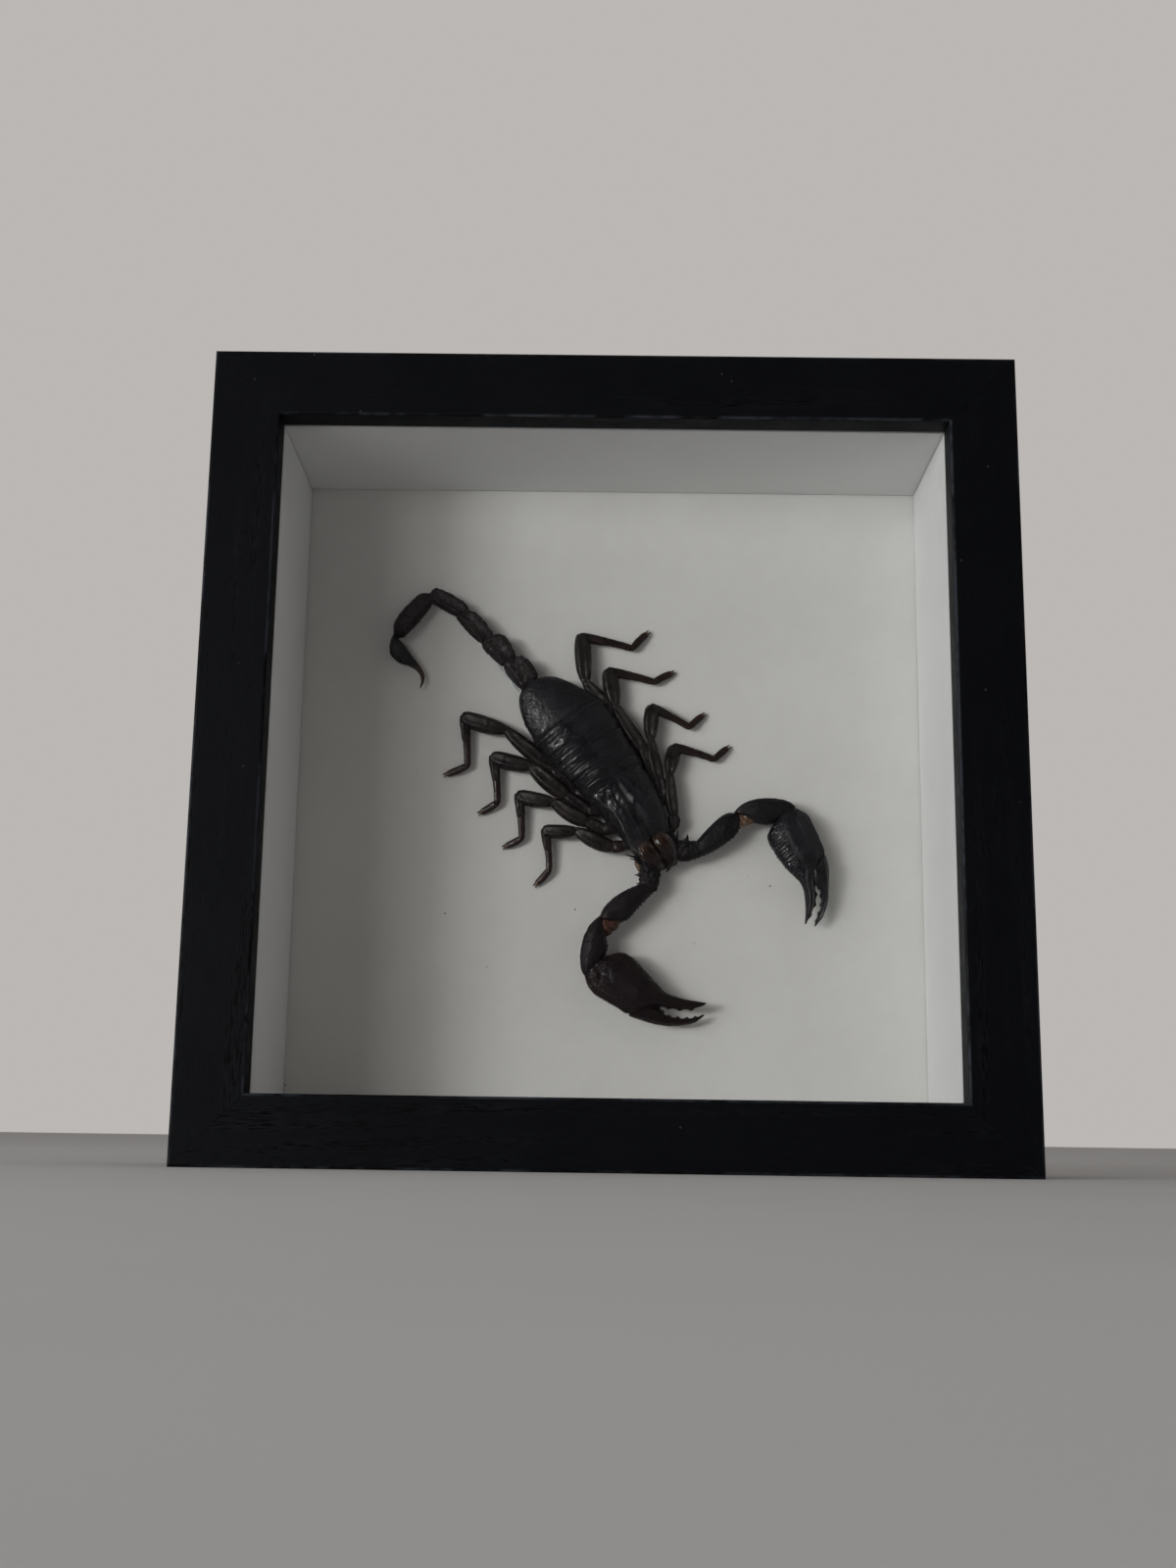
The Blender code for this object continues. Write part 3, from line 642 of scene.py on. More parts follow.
class Finishes:
    """Every finish of the object, made once."""

    def __init__(self) -> None:
        """Make the materials."""
        self.wood_across = StainedWood(Grain.ACROSS).make()
        self.wood_upright = StainedWood(Grain.UPRIGHT).make()
        self.glass = Pane().make()
        self.lining = Board("lining_board", (0.74, 0.745, 0.745), (0.68, 0.685, 0.685),
                            tooth_size=0.0011, tooth=0.10, specks=0.002).make()
        self.paper = Board("backing_paper", (0.735, 0.735, 0.715), (0.665, 0.662, 0.64),
                           tooth_size=0.0016, tooth=0.22, specks=0.010).make()
        self.back = PressedBoard().make()
        self.steel = BrightSteel().make()
        self.shell = HornyShell("black_shell", (0.0058, 0.0062, 0.0080),
                                (0.0108, 0.0112, 0.0138)).make()
        self.arm = HornyShell("arm_shell", (0.0046, 0.0046, 0.0060), (0.0086, 0.0082, 0.0100),
                              rust=(0.016, 0.0062, 0.0062), shine=0.13).make()
        self.leg = HornyShell("leg_shell", (0.0072, 0.0066, 0.0072), (0.0135, 0.0114, 0.0116),
                              rust=(0.026, 0.0095, 0.0070), smooth=0.24, rough=0.44,
                              wrinkle_scale=1500.0, relief=0.3).make()
        self.jaw = HornyShell("brown_shell", (0.0105, 0.0050, 0.0036), (0.0235, 0.0122, 0.0082),
                              rust=(0.0075, 0.0022, 0.0022), smooth=0.14, rough=0.26, pits=0.1,
                              relief=0.12, coat=0.4, dust=0.03).make()
        self.membrane = HornyShell("joint_membrane", (0.055, 0.026, 0.015), (0.115, 0.066, 0.038),
                                   rust=(0.045, 0.012, 0.008), smooth=0.2, rough=0.38, pits=0.1,
                                   wrinkle_scale=1400.0, relief=0.6, coat=0.2, dust=0.02).make()
        self.hair = HornyShell("fine_hair", (0.050, 0.036, 0.026), (0.095, 0.070, 0.050), pits=0.0,
                               relief=0.05, dust=0.0).make()
        self.glue = DriedGlue().make()
        self.floor = StudioFloor().make()


# Meshes

def settle(item: bpy.types.Object, nodes: Sequence[str] = ()) -> bpy.types.Object:
    """Hang a finished piece on the frame.

    Args:
        item: the piece.
        nodes: the solids that it stands for.

    Returns:
        The piece.
    """
    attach(item, BODY)
    if nodes:
        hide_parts(*nodes)
    LOG.info("%s: %d faces, for %s", item.name, len(item.data.polygons),
             ", ".join(nodes) or "no solid")
    return item


def add_mesh(name: str, verts: np.ndarray, faces: Sequence[Sequence[int]],
             material: bpy.types.Material, smooth: bool = True) -> bpy.types.Object:
    """An object from points in metres, with its faces turned outwards.

    Args:
        name: the object's name.
        verts: its points.
        faces: its faces, as point numbers.
        material: its material.
        smooth: whether its faces are shaded smooth.

    Returns:
        The object.
    """
    mesh = bpy.data.meshes.new(name)
    mesh.from_pydata([tuple(point) for point in verts], [], [tuple(face) for face in faces])
    bm = bmesh.new()
    bm.from_mesh(mesh)
    return from_edit_mesh(bm, mesh, material, smooth)


def from_edit_mesh(bm: bmesh.types.BMesh, mesh: bpy.types.Mesh, material: bpy.types.Material,
                   smooth: bool = True) -> bpy.types.Object:
    """An object from an edit mesh, with its faces turned outwards.

    Args:
        bm: the edit mesh, which is freed.
        mesh: the mesh that takes it. The object has its name.
        material: its material.
        smooth: whether its faces are shaded smooth.

    Returns:
        The object.
    """
    bmesh.ops.recalc_face_normals(bm, faces=bm.faces)
    bm.to_mesh(mesh)
    bm.free()
    mesh.materials.append(material)
    if smooth:
        mesh.shade_smooth()
    item = bpy.data.objects.new(mesh.name, mesh)
    bpy.context.scene.collection.objects.link(item)
    return item


def flatten_wide(mesh: bpy.types.Mesh, widest: float = 300.0) -> None:
    """Shade the wide faces of a mesh flat, so that rounded edges don't bend them.

    Args:
        mesh: the mesh.
        widest: the area up to which a face stays smooth, in square millimetres.
    """
    for face in mesh.polygons:
        if face.area > widest * MM * MM:
            face.use_smooth = False


def join(name: str, items: Sequence[bpy.types.Object]) -> bpy.types.Object:
    """Make several objects one.

    Args:
        name: the name of the whole.
        items: the objects.

    Returns:
        The whole.
    """
    first = items[0]
    with bpy.context.temp_override(active_object=first, selected_editable_objects=list(items)):
        bpy.ops.object.join()
    first.name = name
    first.data.name = name
    return first


def baked(item: bpy.types.Object) -> bpy.types.Object:
    """Work an object's modifiers into its mesh.

    Args:
        item: the object.

    Returns:
        The object.
    """
    bpy.context.view_layer.update()
    graph = bpy.context.evaluated_depsgraph_get()
    mesh = bpy.data.meshes.new_from_object(item.evaluated_get(graph))
    item.modifiers.clear()
    item.data = mesh
    mesh.name = item.name
    return item


def smooth_rows(rows: np.ndarray, count: int,
                place: Callable[[np.ndarray], np.ndarray]) -> np.ndarray:
    """Rows read from a smooth curve through the given ones, evenly spaced.

    Args:
        rows: the rows that the curve goes through.
        count: how many rows to give back.
        place: takes rows and gives the points that the spacing goes by.

    Returns:
        The new rows.
    """
    steps = np.linalg.norm(np.diff(place(rows), axis=0), axis=1)
    knots = np.concatenate(([0.0], np.cumsum(np.maximum(steps, 1e-4) ** 0.7)))
    slopes = np.empty_like(rows)
    slopes[1:-1] = (rows[2:] - rows[:-2]) / (knots[2:] - knots[:-2])[:, None]
    slopes[0] = (rows[1] - rows[0]) / (knots[1] - knots[0])
    slopes[-1] = (rows[-1] - rows[-2]) / (knots[-1] - knots[-2])

    def read(t: np.ndarray) -> np.ndarray:
        """Read the curve.

        Args:
            t: knot values.

        Returns:
            A row at each.
        """
        span = np.clip(np.searchsorted(knots, t, side="right") - 1, 0, len(knots) - 2)
        wide = (knots[span + 1] - knots[span])[:, None]
        u = (t - knots[span])[:, None] / wide
        return ((2 * u ** 3 - 3 * u ** 2 + 1) * rows[span]
                + (u ** 3 - 2 * u ** 2 + u) * wide * slopes[span]
                + (3 * u ** 2 - 2 * u ** 3) * rows[span + 1]
                + (u ** 3 - u ** 2) * wide * slopes[span + 1])

    dense = np.linspace(0.0, knots[-1], 24 * len(rows))
    run = np.linalg.norm(np.diff(place(read(dense)), axis=0), axis=1)
    length = np.concatenate(([0.0], np.cumsum(run)))
    return read(np.interp(np.linspace(0.0, length[-1], count), length, dense))


def ripple(points: np.ndarray, size: float | Point, seed: float = 0.0) -> np.ndarray:
    """Smooth noise from about -1 to 1.

    Args:
        points: the points that it is read at.
        size: how far apart its waves are.
        seed: shifts it, so that two of them differ.

    Returns:
        Its value at each point.
    """
    flat = points.reshape(-1, 3) / np.asarray(size) + seed
    return np.array([noise.noise(Vector(p)) for p in flat]).reshape(points.shape[:-1]) * 1.6


def domes(points: np.ndarray, size: float, seed: float = 0.0) -> np.ndarray:
    """Close-set round grains.

    Args:
        points: the points that they are read at.
        size: how far apart they are.
        seed: shifts them.

    Returns:
        1 on top of each grain and 0 between them.
    """
    flat = points.reshape(-1, 3) / size + seed
    near = np.array([noise.voronoi(Vector(p))[0][0] for p in flat]).reshape(points.shape[:-1])
    return np.clip(1.0 - (near / 0.55) ** 2, 0.0, 1.0)


def hump(value: np.ndarray, middle: float, width: float) -> np.ndarray:
    """A soft bell that is 1 at its middle."""
    return np.exp(-((value - middle) / width) ** 2)


def step(value: np.ndarray, low: float, high: float) -> np.ndarray:
    """A smooth step from 0 at low to 1 at high."""
    t = np.clip((value - low) / (high - low), 0.0, 1.0)
    return t * t * (3.0 - 2.0 * t)


def sideways(run: np.ndarray) -> np.ndarray:
    """The level direction to the left of a run."""
    side = np.cross((0.0, 0.0, 1.0), run)
    return side / np.linalg.norm(side)


@dataclass(frozen=True)
class Backing:
    """Where the specimen lies: its middle on the backing paper and the way that it heads."""

    across: float
    front: float
    up: float
    heading: float = math.radians(-51.46)
    centre_right: float = 0.54
    centre_up: float = -1.30

    @classmethod
    def from_frame(cls) -> "Backing":
        """The place of the backing board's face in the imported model."""
        low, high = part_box("backing_board")
        return cls((low.x + high.x) / 2, low.y, (low.z + high.z) / 2)

    def place(self, points: np.ndarray) -> np.ndarray:
        """Carry points from the specimen to the frame.

        Args:
            points: points of the specimen, in millimetres.

        Returns:
            Points of the frame, in metres, a row each.
        """
        flat = np.asarray(points, float).reshape(-1, 3)
        c, s = math.cos(self.heading), math.sin(self.heading)
        right = self.centre_right + flat[:, 0] * c - flat[:, 1] * s
        up = self.centre_up + flat[:, 0] * s + flat[:, 1] * c
        return np.stack((self.across + right * MM, self.front - flat[:, 2] * MM,
                         self.up + up * MM), 1)

    def turn(self, direction: Point) -> Vector:
        """A direction of the specimen as one of the frame."""
        ends = self.place(np.array([(0.0, 0.0, 0.0), direction]))
        return Vector(ends[1] - ends[0]).normalized()


@dataclass
class Skin:
    """A closed skin over rings, as a grid of specimen points in millimetres."""

    points: np.ndarray
    angle: np.ndarray
    marks: dict[str, np.ndarray | float] = field(default_factory=dict)

    @property
    def travel(self) -> np.ndarray:
        """How far along its middle line each ring lies.

        Returns:
            The distances, as a column.
        """
        middle = self.points.mean(axis=1)
        runs = np.linalg.norm(np.diff(middle, axis=0), axis=1)
        return np.concatenate(([0.0], np.cumsum(runs)))[:, None]

    @property
    def share(self) -> np.ndarray:
        """How far along its length each ring lies, from 0 to 1, as a column."""
        travel = self.travel
        return travel / travel[-1]

    def normals(self) -> np.ndarray:
        """Find the outward direction at each point.

        Returns:
            The directions.
        """
        along = np.gradient(self.points, axis=0)
        around = np.roll(self.points, -1, axis=1) - np.roll(self.points, 1, axis=1)
        out = np.cross(along, around)
        away = self.points - self.points.mean(axis=1, keepdims=True)
        out *= np.where((out * away).sum(-1, keepdims=True) < 0, -1.0, 1.0)
        return out / np.maximum(np.linalg.norm(out, axis=-1, keepdims=True), 1e-9)

    def raise_by(self, height: np.ndarray) -> None:
        """Move each point outwards by a height in millimetres."""
        self.points = self.points + self.normals() * height[..., None]

    def apart(self, degrees: float) -> np.ndarray:
        """The turn from an angle of the section to each side, from -pi to pi."""
        return (self.angle - math.radians(degrees) + math.pi) % (2 * math.pi) - math.pi

    def near(self, degrees: float, width: float) -> np.ndarray:
        """A bell round the section at an angle, as a row."""
        return np.exp(-(self.apart(degrees) / math.radians(width)) ** 2)[None, :]

    def line(self, degrees: float, start: float, end: float) -> np.ndarray:
        """Points along the skin at one angle.

        Args:
            degrees: the angle.
            start: share of the length where they begin.
            end: share of the length where they end.

        Returns:
            The points.
        """
        column = int(np.argmin(np.abs(self.apart(degrees))))
        share = self.share[:, 0]
        return self.points[(share >= start) & (share <= end), column]

    def build(self, name: str, backing: Backing, material: bpy.types.Material) -> bpy.types.Object:
        """The skin as an object, closed by a fan at each end.

        Args:
            name: the object's name.
            backing: where the specimen lies.
            material: its material.

        Returns:
            The object.
        """
        rings, sides = self.points.shape[:2]
        ends = np.stack((self.points[0].mean(axis=0), self.points[-1].mean(axis=0)))
        verts = backing.place(np.concatenate((self.points.reshape(-1, 3), ends)))
        ring, side = np.meshgrid(np.arange(rings - 1), np.arange(sides), indexing="ij")
        after = (side + 1) % sides
        quads = np.stack((ring * sides + side, ring * sides + after, (ring + 1) * sides + after,
                          (ring + 1) * sides + side), -1).reshape(-1, 4)
        first, last = rings * sides, (rings - 1) * sides
        fans = [(first, (k + 1) % sides, k) for k in range(sides)]
        fans += [(first + 1, last + k, last + (k + 1) % sides) for k in range(sides)]
        item = add_mesh(name, verts, [*quads.tolist(), *fans], material)
        for mark, values in self.marks.items():
            full = np.broadcast_to(values, (rings, sides))
            flat = np.concatenate((full.ravel(), (full[0].mean(), full[-1].mean())))
            layer = item.data.attributes.new(mark, "FLOAT", "POINT")
            layer.data.foreach_set("value", np.clip(flat, 0.0, 1.0).astype(np.float32))
        return item


@dataclass(frozen=True)
class Keel:
    """A raised line along a limb, plain or beaded."""

    angle: float
    height: float
    width: float
    beads: float = 0.0
    start: float = 0.0
    end: float = 1.0
    fade: float = 0.06

    def relief(self, skin: Skin) -> np.ndarray:
        """Its height on a skin.

        Args:
            skin: the skin.

        Returns:
            The height at each point.
        """
        share = skin.share
        window = (step(share, self.start, self.start + self.fade)
                  * step(-share, -self.end, -self.end + self.fade))
        beat = 1.0
        if self.beads:
            beat = 0.5 + 0.5 * np.cos(2 * math.pi * skin.travel / self.beads)
        return self.height * window * beat * skin.near(self.angle, self.width)


def keels(*rows: tuple[tuple[float, ...], tuple[float, ...]]) -> tuple[Keel, ...]:
    """Keels alike: each row has their angles, and what else a keel takes."""
    return tuple(Keel(angle, *rest) for angles, rest in rows for angle in angles)


@dataclass(frozen=True)
class Limb:
    """A limb piece: the middle, the sideways reach and the upward reach of its rings."""

    core: np.ndarray
    rings: int = 60
    sides: int = 40
    squareness: float = 0.9
    keels: tuple[Keel, ...] = ()
    grain: float = 0.05
    grain_size: float = 0.9
    end_bulge: float = 0.55

    @classmethod
    def slab(cls, rows: Sequence[Row], **settings: object) -> "Limb":
        """A limb between two edges.

        Args:
            rows: the rings, each with its outer and inner edge, height and half thickness.
            settings: other fields.

        Returns:
            The limb.
        """
        core = []
        for outer, inner, height, thick in rows:
            a, b = np.array((*outer, height)), np.array((*inner, height))
            core.append(np.concatenate(((a + b) / 2, (a - b) / 2, (0.0, 0.0, thick))))
        return cls(np.array(core), **settings)

    @classmethod
    def tube(cls, path: Sequence[Point], widths: Sequence[float], flatness: float,
             **settings: object) -> "Limb":
        """A limb along a path, flattened towards the backing.

        Args:
            path: the middles of its rings.
            widths: their half widths.
            flatness: their height as a share of their width.
            settings: other fields.

        Returns:
            The limb.
        """
        points = np.asarray(path, float)
        core = []
        for k, point in enumerate(points):
            run = points[min(k + 1, len(points) - 1)] - points[max(k - 1, 0)]
            run = run / np.linalg.norm(run)
            side = sideways(run)
            lift = np.cross(run, side)
            core.append(np.concatenate((point, side * widths[k], lift * widths[k] * flatness)))
        return cls(np.array(core), **settings)

    def closed_core(self) -> np.ndarray:
        """Put two smaller rings outside each end, so that the ends are round.

        Returns:
            The rings.
        """
        core = self.core
        for end, inward in ((0, 1), (-1, -2)):
            run = core[end, :3] - core[inward, :3]
            run /= max(np.linalg.norm(run), 1e-9)
            thin = min(np.linalg.norm(core[end, 3:6]), np.linalg.norm(core[end, 6:9]))
            reach = thin * self.end_bulge
            extra = []
            for out, size in ((0.75, 0.72), (1.05, 0.25)):
                row = core[end].copy()
                row[:3] += run * reach * out
                row[3:] *= size
                extra.append(row)
            core = np.vstack((extra[::-1], core)) if end == 0 else np.vstack((core, extra))
        return core

    def skin(self) -> Skin:
        """Cover the limb, with its keels and fine grain.

        Returns:
            The skin.
        """
        rows = smooth_rows(self.closed_core(), self.rings, lambda r: r[:, :3])
        angle = 2 * math.pi * np.arange(self.sides) / self.sides
        c, s = np.cos(angle), np.sin(angle)
        c = np.sign(c) * np.abs(c) ** self.squareness
        s = np.sign(s) * np.abs(s) ** self.squareness
        points = (rows[:, None, :3] + rows[:, None, 3:6] * c[None, :, None]
                  + rows[:, None, 6:9] * s[None, :, None])
        skin = Skin(points, angle)
        relief = sum((keel.relief(skin) for keel in self.keels), np.zeros(points.shape[:2]))
        if self.grain:
            relief = relief + self.grain * ripple(points, self.grain_size)
        skin.raise_by(relief)
        return skin


# Repeated small things

class Form(Enum):
    """What a scatter sets on a surface."""

    BRISTLE = "bristle"
    GRAIN = "grain"
    SPINE = "spine"


class Scatter:
    """A Geometry Nodes tree that grows small forms on a surface, or along a line."""

    INPUTS = (("Density", "NodeSocketFloat", 1.0e6), ("Count", "NodeSocketInt", 12),
              ("Length", "NodeSocketFloat", 0.001), ("Radius", "NodeSocketFloat", 0.0002),
              ("Spread", "NodeSocketFloat", 0.3), ("Smallest", "NodeSocketFloat", 0.6),
              ("Direction", "NodeSocketVector", (0.0, 0.0, 1.0)), ("Seed", "NodeSocketInt", 1),
              ("Material", "NodeSocketMaterial", None))

    def __init__(self, form: Form, mark: str = "") -> None:
        """Build the tree.

        Args:
            form: what it sets.
            mark: the mark on the surface that says where; empty for a line.
        """
        self.tree = bpy.data.node_groups.new(f"scatter_{form.value}_{mark or 'line'}",
                                             "GeometryNodeTree")
        self.names = {}
        face = self.tree.interface
        face.new_socket("Geometry", in_out="INPUT", socket_type="NodeSocketGeometry")
        for name, kind, value in self.INPUTS:
            socket = face.new_socket(name, in_out="INPUT", socket_type=kind)
            if value is not None:
                socket.default_value = value
            self.names[name] = socket.identifier
        face.new_socket("Geometry", in_out="OUTPUT", socket_type="NodeSocketGeometry")
        tree = Tree(self.tree)
        start = tree.add("NodeGroupInput").outputs
        if mark:
            share = tree.add("GeometryNodeInputNamedAttribute", {"Name": mark}, data_type="FLOAT")
            crowd = tree.maths("MULTIPLY", start["Density"], share.outputs["Attribute"])
            spots = tree.add("GeometryNodeDistributePointsOnFaces",
                             {"Mesh": start["Geometry"], "Density": crowd, "Seed": start["Seed"]})
            points, turn = spots.outputs["Points"], spots.outputs["Rotation"]
        else:
            curve = tree.add("GeometryNodeMeshToCurve", {"Mesh": start["Geometry"]})
            spots = tree.add("GeometryNodeResampleCurve",
                             {"Curve": curve.outputs[0], "Count": start["Count"]})
            aim = tree.add("FunctionNodeAlignRotationToVector", {"Vector": start["Direction"]},
                           axis="Z")
            points, turn = spots.outputs[0], aim.outputs[0]
        low = tree.add("ShaderNodeVectorMath", {0: (1.0, 1.0, 1.0), "Scale": start["Spread"]},
                       operation="SCALE").outputs[0]
        lean = tree.add("FunctionNodeRandomValue", data_type="FLOAT_VECTOR")
        minus = tree.add("ShaderNodeVectorMath", {0: low, "Scale": -1.0},
                         operation="SCALE").outputs[0]
        tree.feed(lean.inputs[0], minus)
        tree.feed(lean.inputs[1], low)
        tree.feed(lean.inputs["Seed"], start["Seed"])
        tilt = tree.add("FunctionNodeEulerToRotation", {0: lean.outputs[0]})
        turned = tree.add("FunctionNodeRotateRotation",
                          {"Rotation": turn, "Rotate By": tilt.outputs[0]}, rotation_space="LOCAL")
        size = tree.add("FunctionNodeRandomValue",
                        {2: start["Smallest"], 3: 1.0, "Seed": start["Seed"]}, data_type="FLOAT")
        placed = tree.add("GeometryNodeInstanceOnPoints",
                          {"Points": points, "Instance": self.shape(tree, form, start),
                           "Rotation": turned.outputs[0], "Scale": size.outputs[1]})
        real = tree.add("GeometryNodeRealizeInstances", {"Geometry": placed.outputs[0]})
        dressed = tree.add("GeometryNodeSetMaterial",
                           {"Geometry": real.outputs[0], "Material": start["Material"]})
        end = tree.add("NodeGroupOutput")
        tree.feed(end.inputs[0], dressed.outputs[0])

    @staticmethod
    def shape(tree: Tree, form: Form, start: bpy.types.bpy_prop_collection) -> bpy.types.NodeSocket:
        """The small form itself.

        Args:
            tree: the scatter's tree.
            form: a ball of a few faces, or a cone.
            start: the tree's inputs.

        Returns:
            The form's geometry.
        """
        if form is Form.GRAIN:
            ball = tree.add("GeometryNodeMeshIcoSphere",
                            {"Radius": start["Radius"], "Subdivisions": 1})
            return ball.outputs["Mesh"]
        cone = tree.add("GeometryNodeMeshCone",
                        {"Vertices": BRISTLE_SIDES if form is Form.BRISTLE else SPINE_SIDES,
                         "Radius Top": 0.0, "Radius Bottom": start["Radius"],
                         "Depth": start["Length"]},
                        fill_type="NGON")
        down = tree.maths("MULTIPLY", start["Length"], SUNK_SHARE)
        sunk = tree.add("ShaderNodeCombineXYZ", {"Z": down})
        moved = tree.add("GeometryNodeTransform", {"Geometry": cone.outputs["Mesh"],
                                                   "Translation": sunk.outputs[0]})
        return moved.outputs[0]

    def grow(self, name: str, host: bpy.types.Object, material: bpy.types.Material,
             **values: object) -> bpy.types.Object:
        """Run the tree on a host and keep the result as a plain mesh.

        Args:
            name: the name of what is grown.
            host: the surface or line.
            material: the material of what is grown.
            values: the tree's inputs by name.

        Returns:
            The new object.
        """
        item = bpy.data.objects.new(name, host.data.copy())
        bpy.context.scene.collection.objects.link(item)
        modifier = item.modifiers.new("scatter", "NODES")
        modifier.node_group = self.tree
        modifier[self.names["Material"]] = material
        for key, value in values.items():
            modifier[self.names[key]] = value
        return baked(item)


class Growth:
    """The scatters that the specimen uses."""

    def __init__(self, backing: Backing) -> None:
        """Build the trees.

        Args:
            backing: where the specimen lies.
        """
        self.backing = backing
        self.bristles = Scatter(Form.BRISTLE, "bristle")
        self.grains = Scatter(Form.GRAIN, "grainy")
        self.thorns = Scatter(Form.SPINE, "thorny")
        self.saw = Scatter(Form.SPINE)

    def saw_on(self, name: str, points: np.ndarray, direction: Point, count: int,
               material: bpy.types.Material, length: float = 0.9, radius: float = 0.42,
               seed: int = 3) -> bpy.types.Object:
        """A row of small spines along a line.

        Args:
            name: the row's name.
            points: the line, in specimen millimetres.
            direction: the way that the spines point, in specimen coordinates.
            count: how many there are.
            material: their material.
            length: how long each is, in millimetres.
            radius: how thick each is at its root, in millimetres.
            seed: what their small differences are drawn from.

        Returns:
            The row as an object.
        """
        mesh = bpy.data.meshes.new(name + "_line")
        verts = [tuple(p) for p in self.backing.place(points)]
        mesh.from_pydata(verts, [(k, k + 1) for k in range(len(verts) - 1)], [])
        host = bpy.data.objects.new(name + "_line", mesh)
        row = self.saw.grow(name, host, material, Count=count, Length=length * MM,
                            Radius=radius * MM, Direction=tuple(self.backing.turn(direction)),
                            Spread=0.28, Smallest=0.62, Seed=seed)
        bpy.data.objects.remove(host)
        bpy.data.meshes.remove(mesh)
        return row


# Box frame

@dataclass
class BoxFrame:
    """Rails, glass, lining, backing, back panel and tabs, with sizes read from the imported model."""

    finishes: Finishes
    edge_radius: float = 0.9
    edge_steps: int = 6
    mitre_line: float = 0.05
    board_edge: float = 0.25
    glass_edge: float = 0.3
    panel_edge: float = 0.4
    card_swell: float = 0.12
    panel_swell: float = 0.25
    ease: float = 0.3
    tab_lap: float = 0.22
    tab_rows: int = 14
    tab_columns: int = 10

    def __post_init__(self) -> None:
        """Read the driving sizes, in millimetres."""
        low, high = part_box("rail_bottom")
        inner_low, inner_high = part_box("glass_pane")
        self.half = high.x / MM
        self.front = low.y / MM
        self.depth = (high.y - low.y) / MM
        self.face = high.z / MM
        self.wall = self.half - inner_high.x / MM - GAP
        self.lip = (inner_low.y - low.y) / MM - GAP

    def arc(self, centre: Pair, start: float, end: float) -> list[Point]:
        """A rounded edge of the rail's section, marked for wear and a painted highlight.

        Args:
            centre: its centre.
            start: the turn where it starts.
            end: the turn where it ends.

        Returns:
            Its points as (distance in, depth, share of wear and painted highlight).
        """
        r, steps = self.edge_radius, self.edge_steps
        turns = [start + (end - start) * k / steps for k in range(steps + 1)]
        return [(centre[0] + r * math.cos(a), centre[1] + r * math.sin(a),
                 math.sin(math.pi * k / steps)) for k, a in enumerate(turns)]

    def section(self) -> list[Point]:
        """The rail's section.

        Returns:
            Its points as (distance in from the outer edge, depth, share of wear and painted
            highlight).
        """
        r, quarter, ease = self.edge_radius, math.pi / 2, self.ease
        return [*self.arc((r, r), 2 * quarter, 3 * quarter),
                *self.arc((self.face - r, r), -quarter, 0.0),
                (self.face, self.lip - ease, 0.2), (self.face - ease, self.lip, 0.2),
                (self.wall, self.lip, 0.0), (self.wall, self.depth - ease, 0.0),
                (self.wall - ease, self.depth, 0.4),
                *self.arc((r, self.depth - r), quarter, 2 * quarter)]

    def rail(self, side: str, turns: int) -> None:
        """Add one mitred rail, drawn as the bottom one and turned about the middle.

        Args:
            side: the side of the frame.
            turns: its quarter turns.
        """
        section = self.section()
        verts, worn_highlight = [], []
        angle = math.radians(90 * turns)
        for end in (-1, 1):
            for inset, depth, wear_highlight in section:
                x = end * (self.half - inset - self.mitre_line)
                z = inset - self.half
                verts.append((x * math.cos(angle) - z * math.sin(angle), self.front + depth,
                              self.half + x * math.sin(angle) + z * math.cos(angle)))
                worn_highlight.append(wear_highlight)
        n = len(section)
        faces = [tuple(range(n)), tuple(range(n, 2 * n))]
        faces += [(k, (k + 1) % n, n + (k + 1) % n, n + k) for k in range(n)]
        wood = self.finishes.wood_across if turns % 2 == 0 else self.finishes.wood_upright
        item = add_mesh(f"rail_{side}_wood", np.array(verts) * MM, faces, wood)
        item.data.set_sharp_from_angle(angle=SHARP_RAIL)
        flatten_wide(item.data)
        # The edge mark for wear and the painted highlight along the rounded edges.
        layer = item.data.attributes.new("edge_wear_highlight", "FLOAT", "POINT")
        layer.data.foreach_set("value", np.array(worn_highlight, np.float32))
        settle(item, [f"rail_{side}"])

    def board(self, name: str, node: str, material: bpy.types.Material, edge: float,
              swell: float = 0.0) -> None:
        """A sheet with eased edges in the place of a plain solid.

        Args:
            name: the piece's name.
            node: the solid that it stands for.
            material: its material.
            edge: how much its edges are eased, in millimetres.
            swell: how far its faces wander from flat, in millimetres.
        """
        low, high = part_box(node)
        bm = bmesh.new()
        bmesh.ops.create_cube(bm, size=1.0)
        for vert in bm.verts:
            for axis in range(3):
                vert.co[axis] = low[axis] if vert.co[axis] < 0 else high[axis]
        bmesh.ops.bevel(bm, geom=list(bm.edges), offset=edge * MM, segments=2, affect="EDGES",
                        profile=0.6)
        if swell:
            long_edges = [e for e in bm.edges if e.calc_length() > 0.05]
            bmesh.ops.subdivide_edges(bm, edges=long_edges, cuts=15, use_grid_fill=True)
            for vert in bm.verts:
                if all(low[a] + MM < vert.co[a] < high[a] - MM for a in (0, 2)):
                    vert.co.y += swell * MM * noise.noise(vert.co * 22.0)
        item = from_edit_mesh(bm, bpy.data.meshes.new(name), material)
        item.data.set_sharp_from_angle(angle=SHARP_SHEET)
        flatten_wide(item.data)
        settle(item, [node])

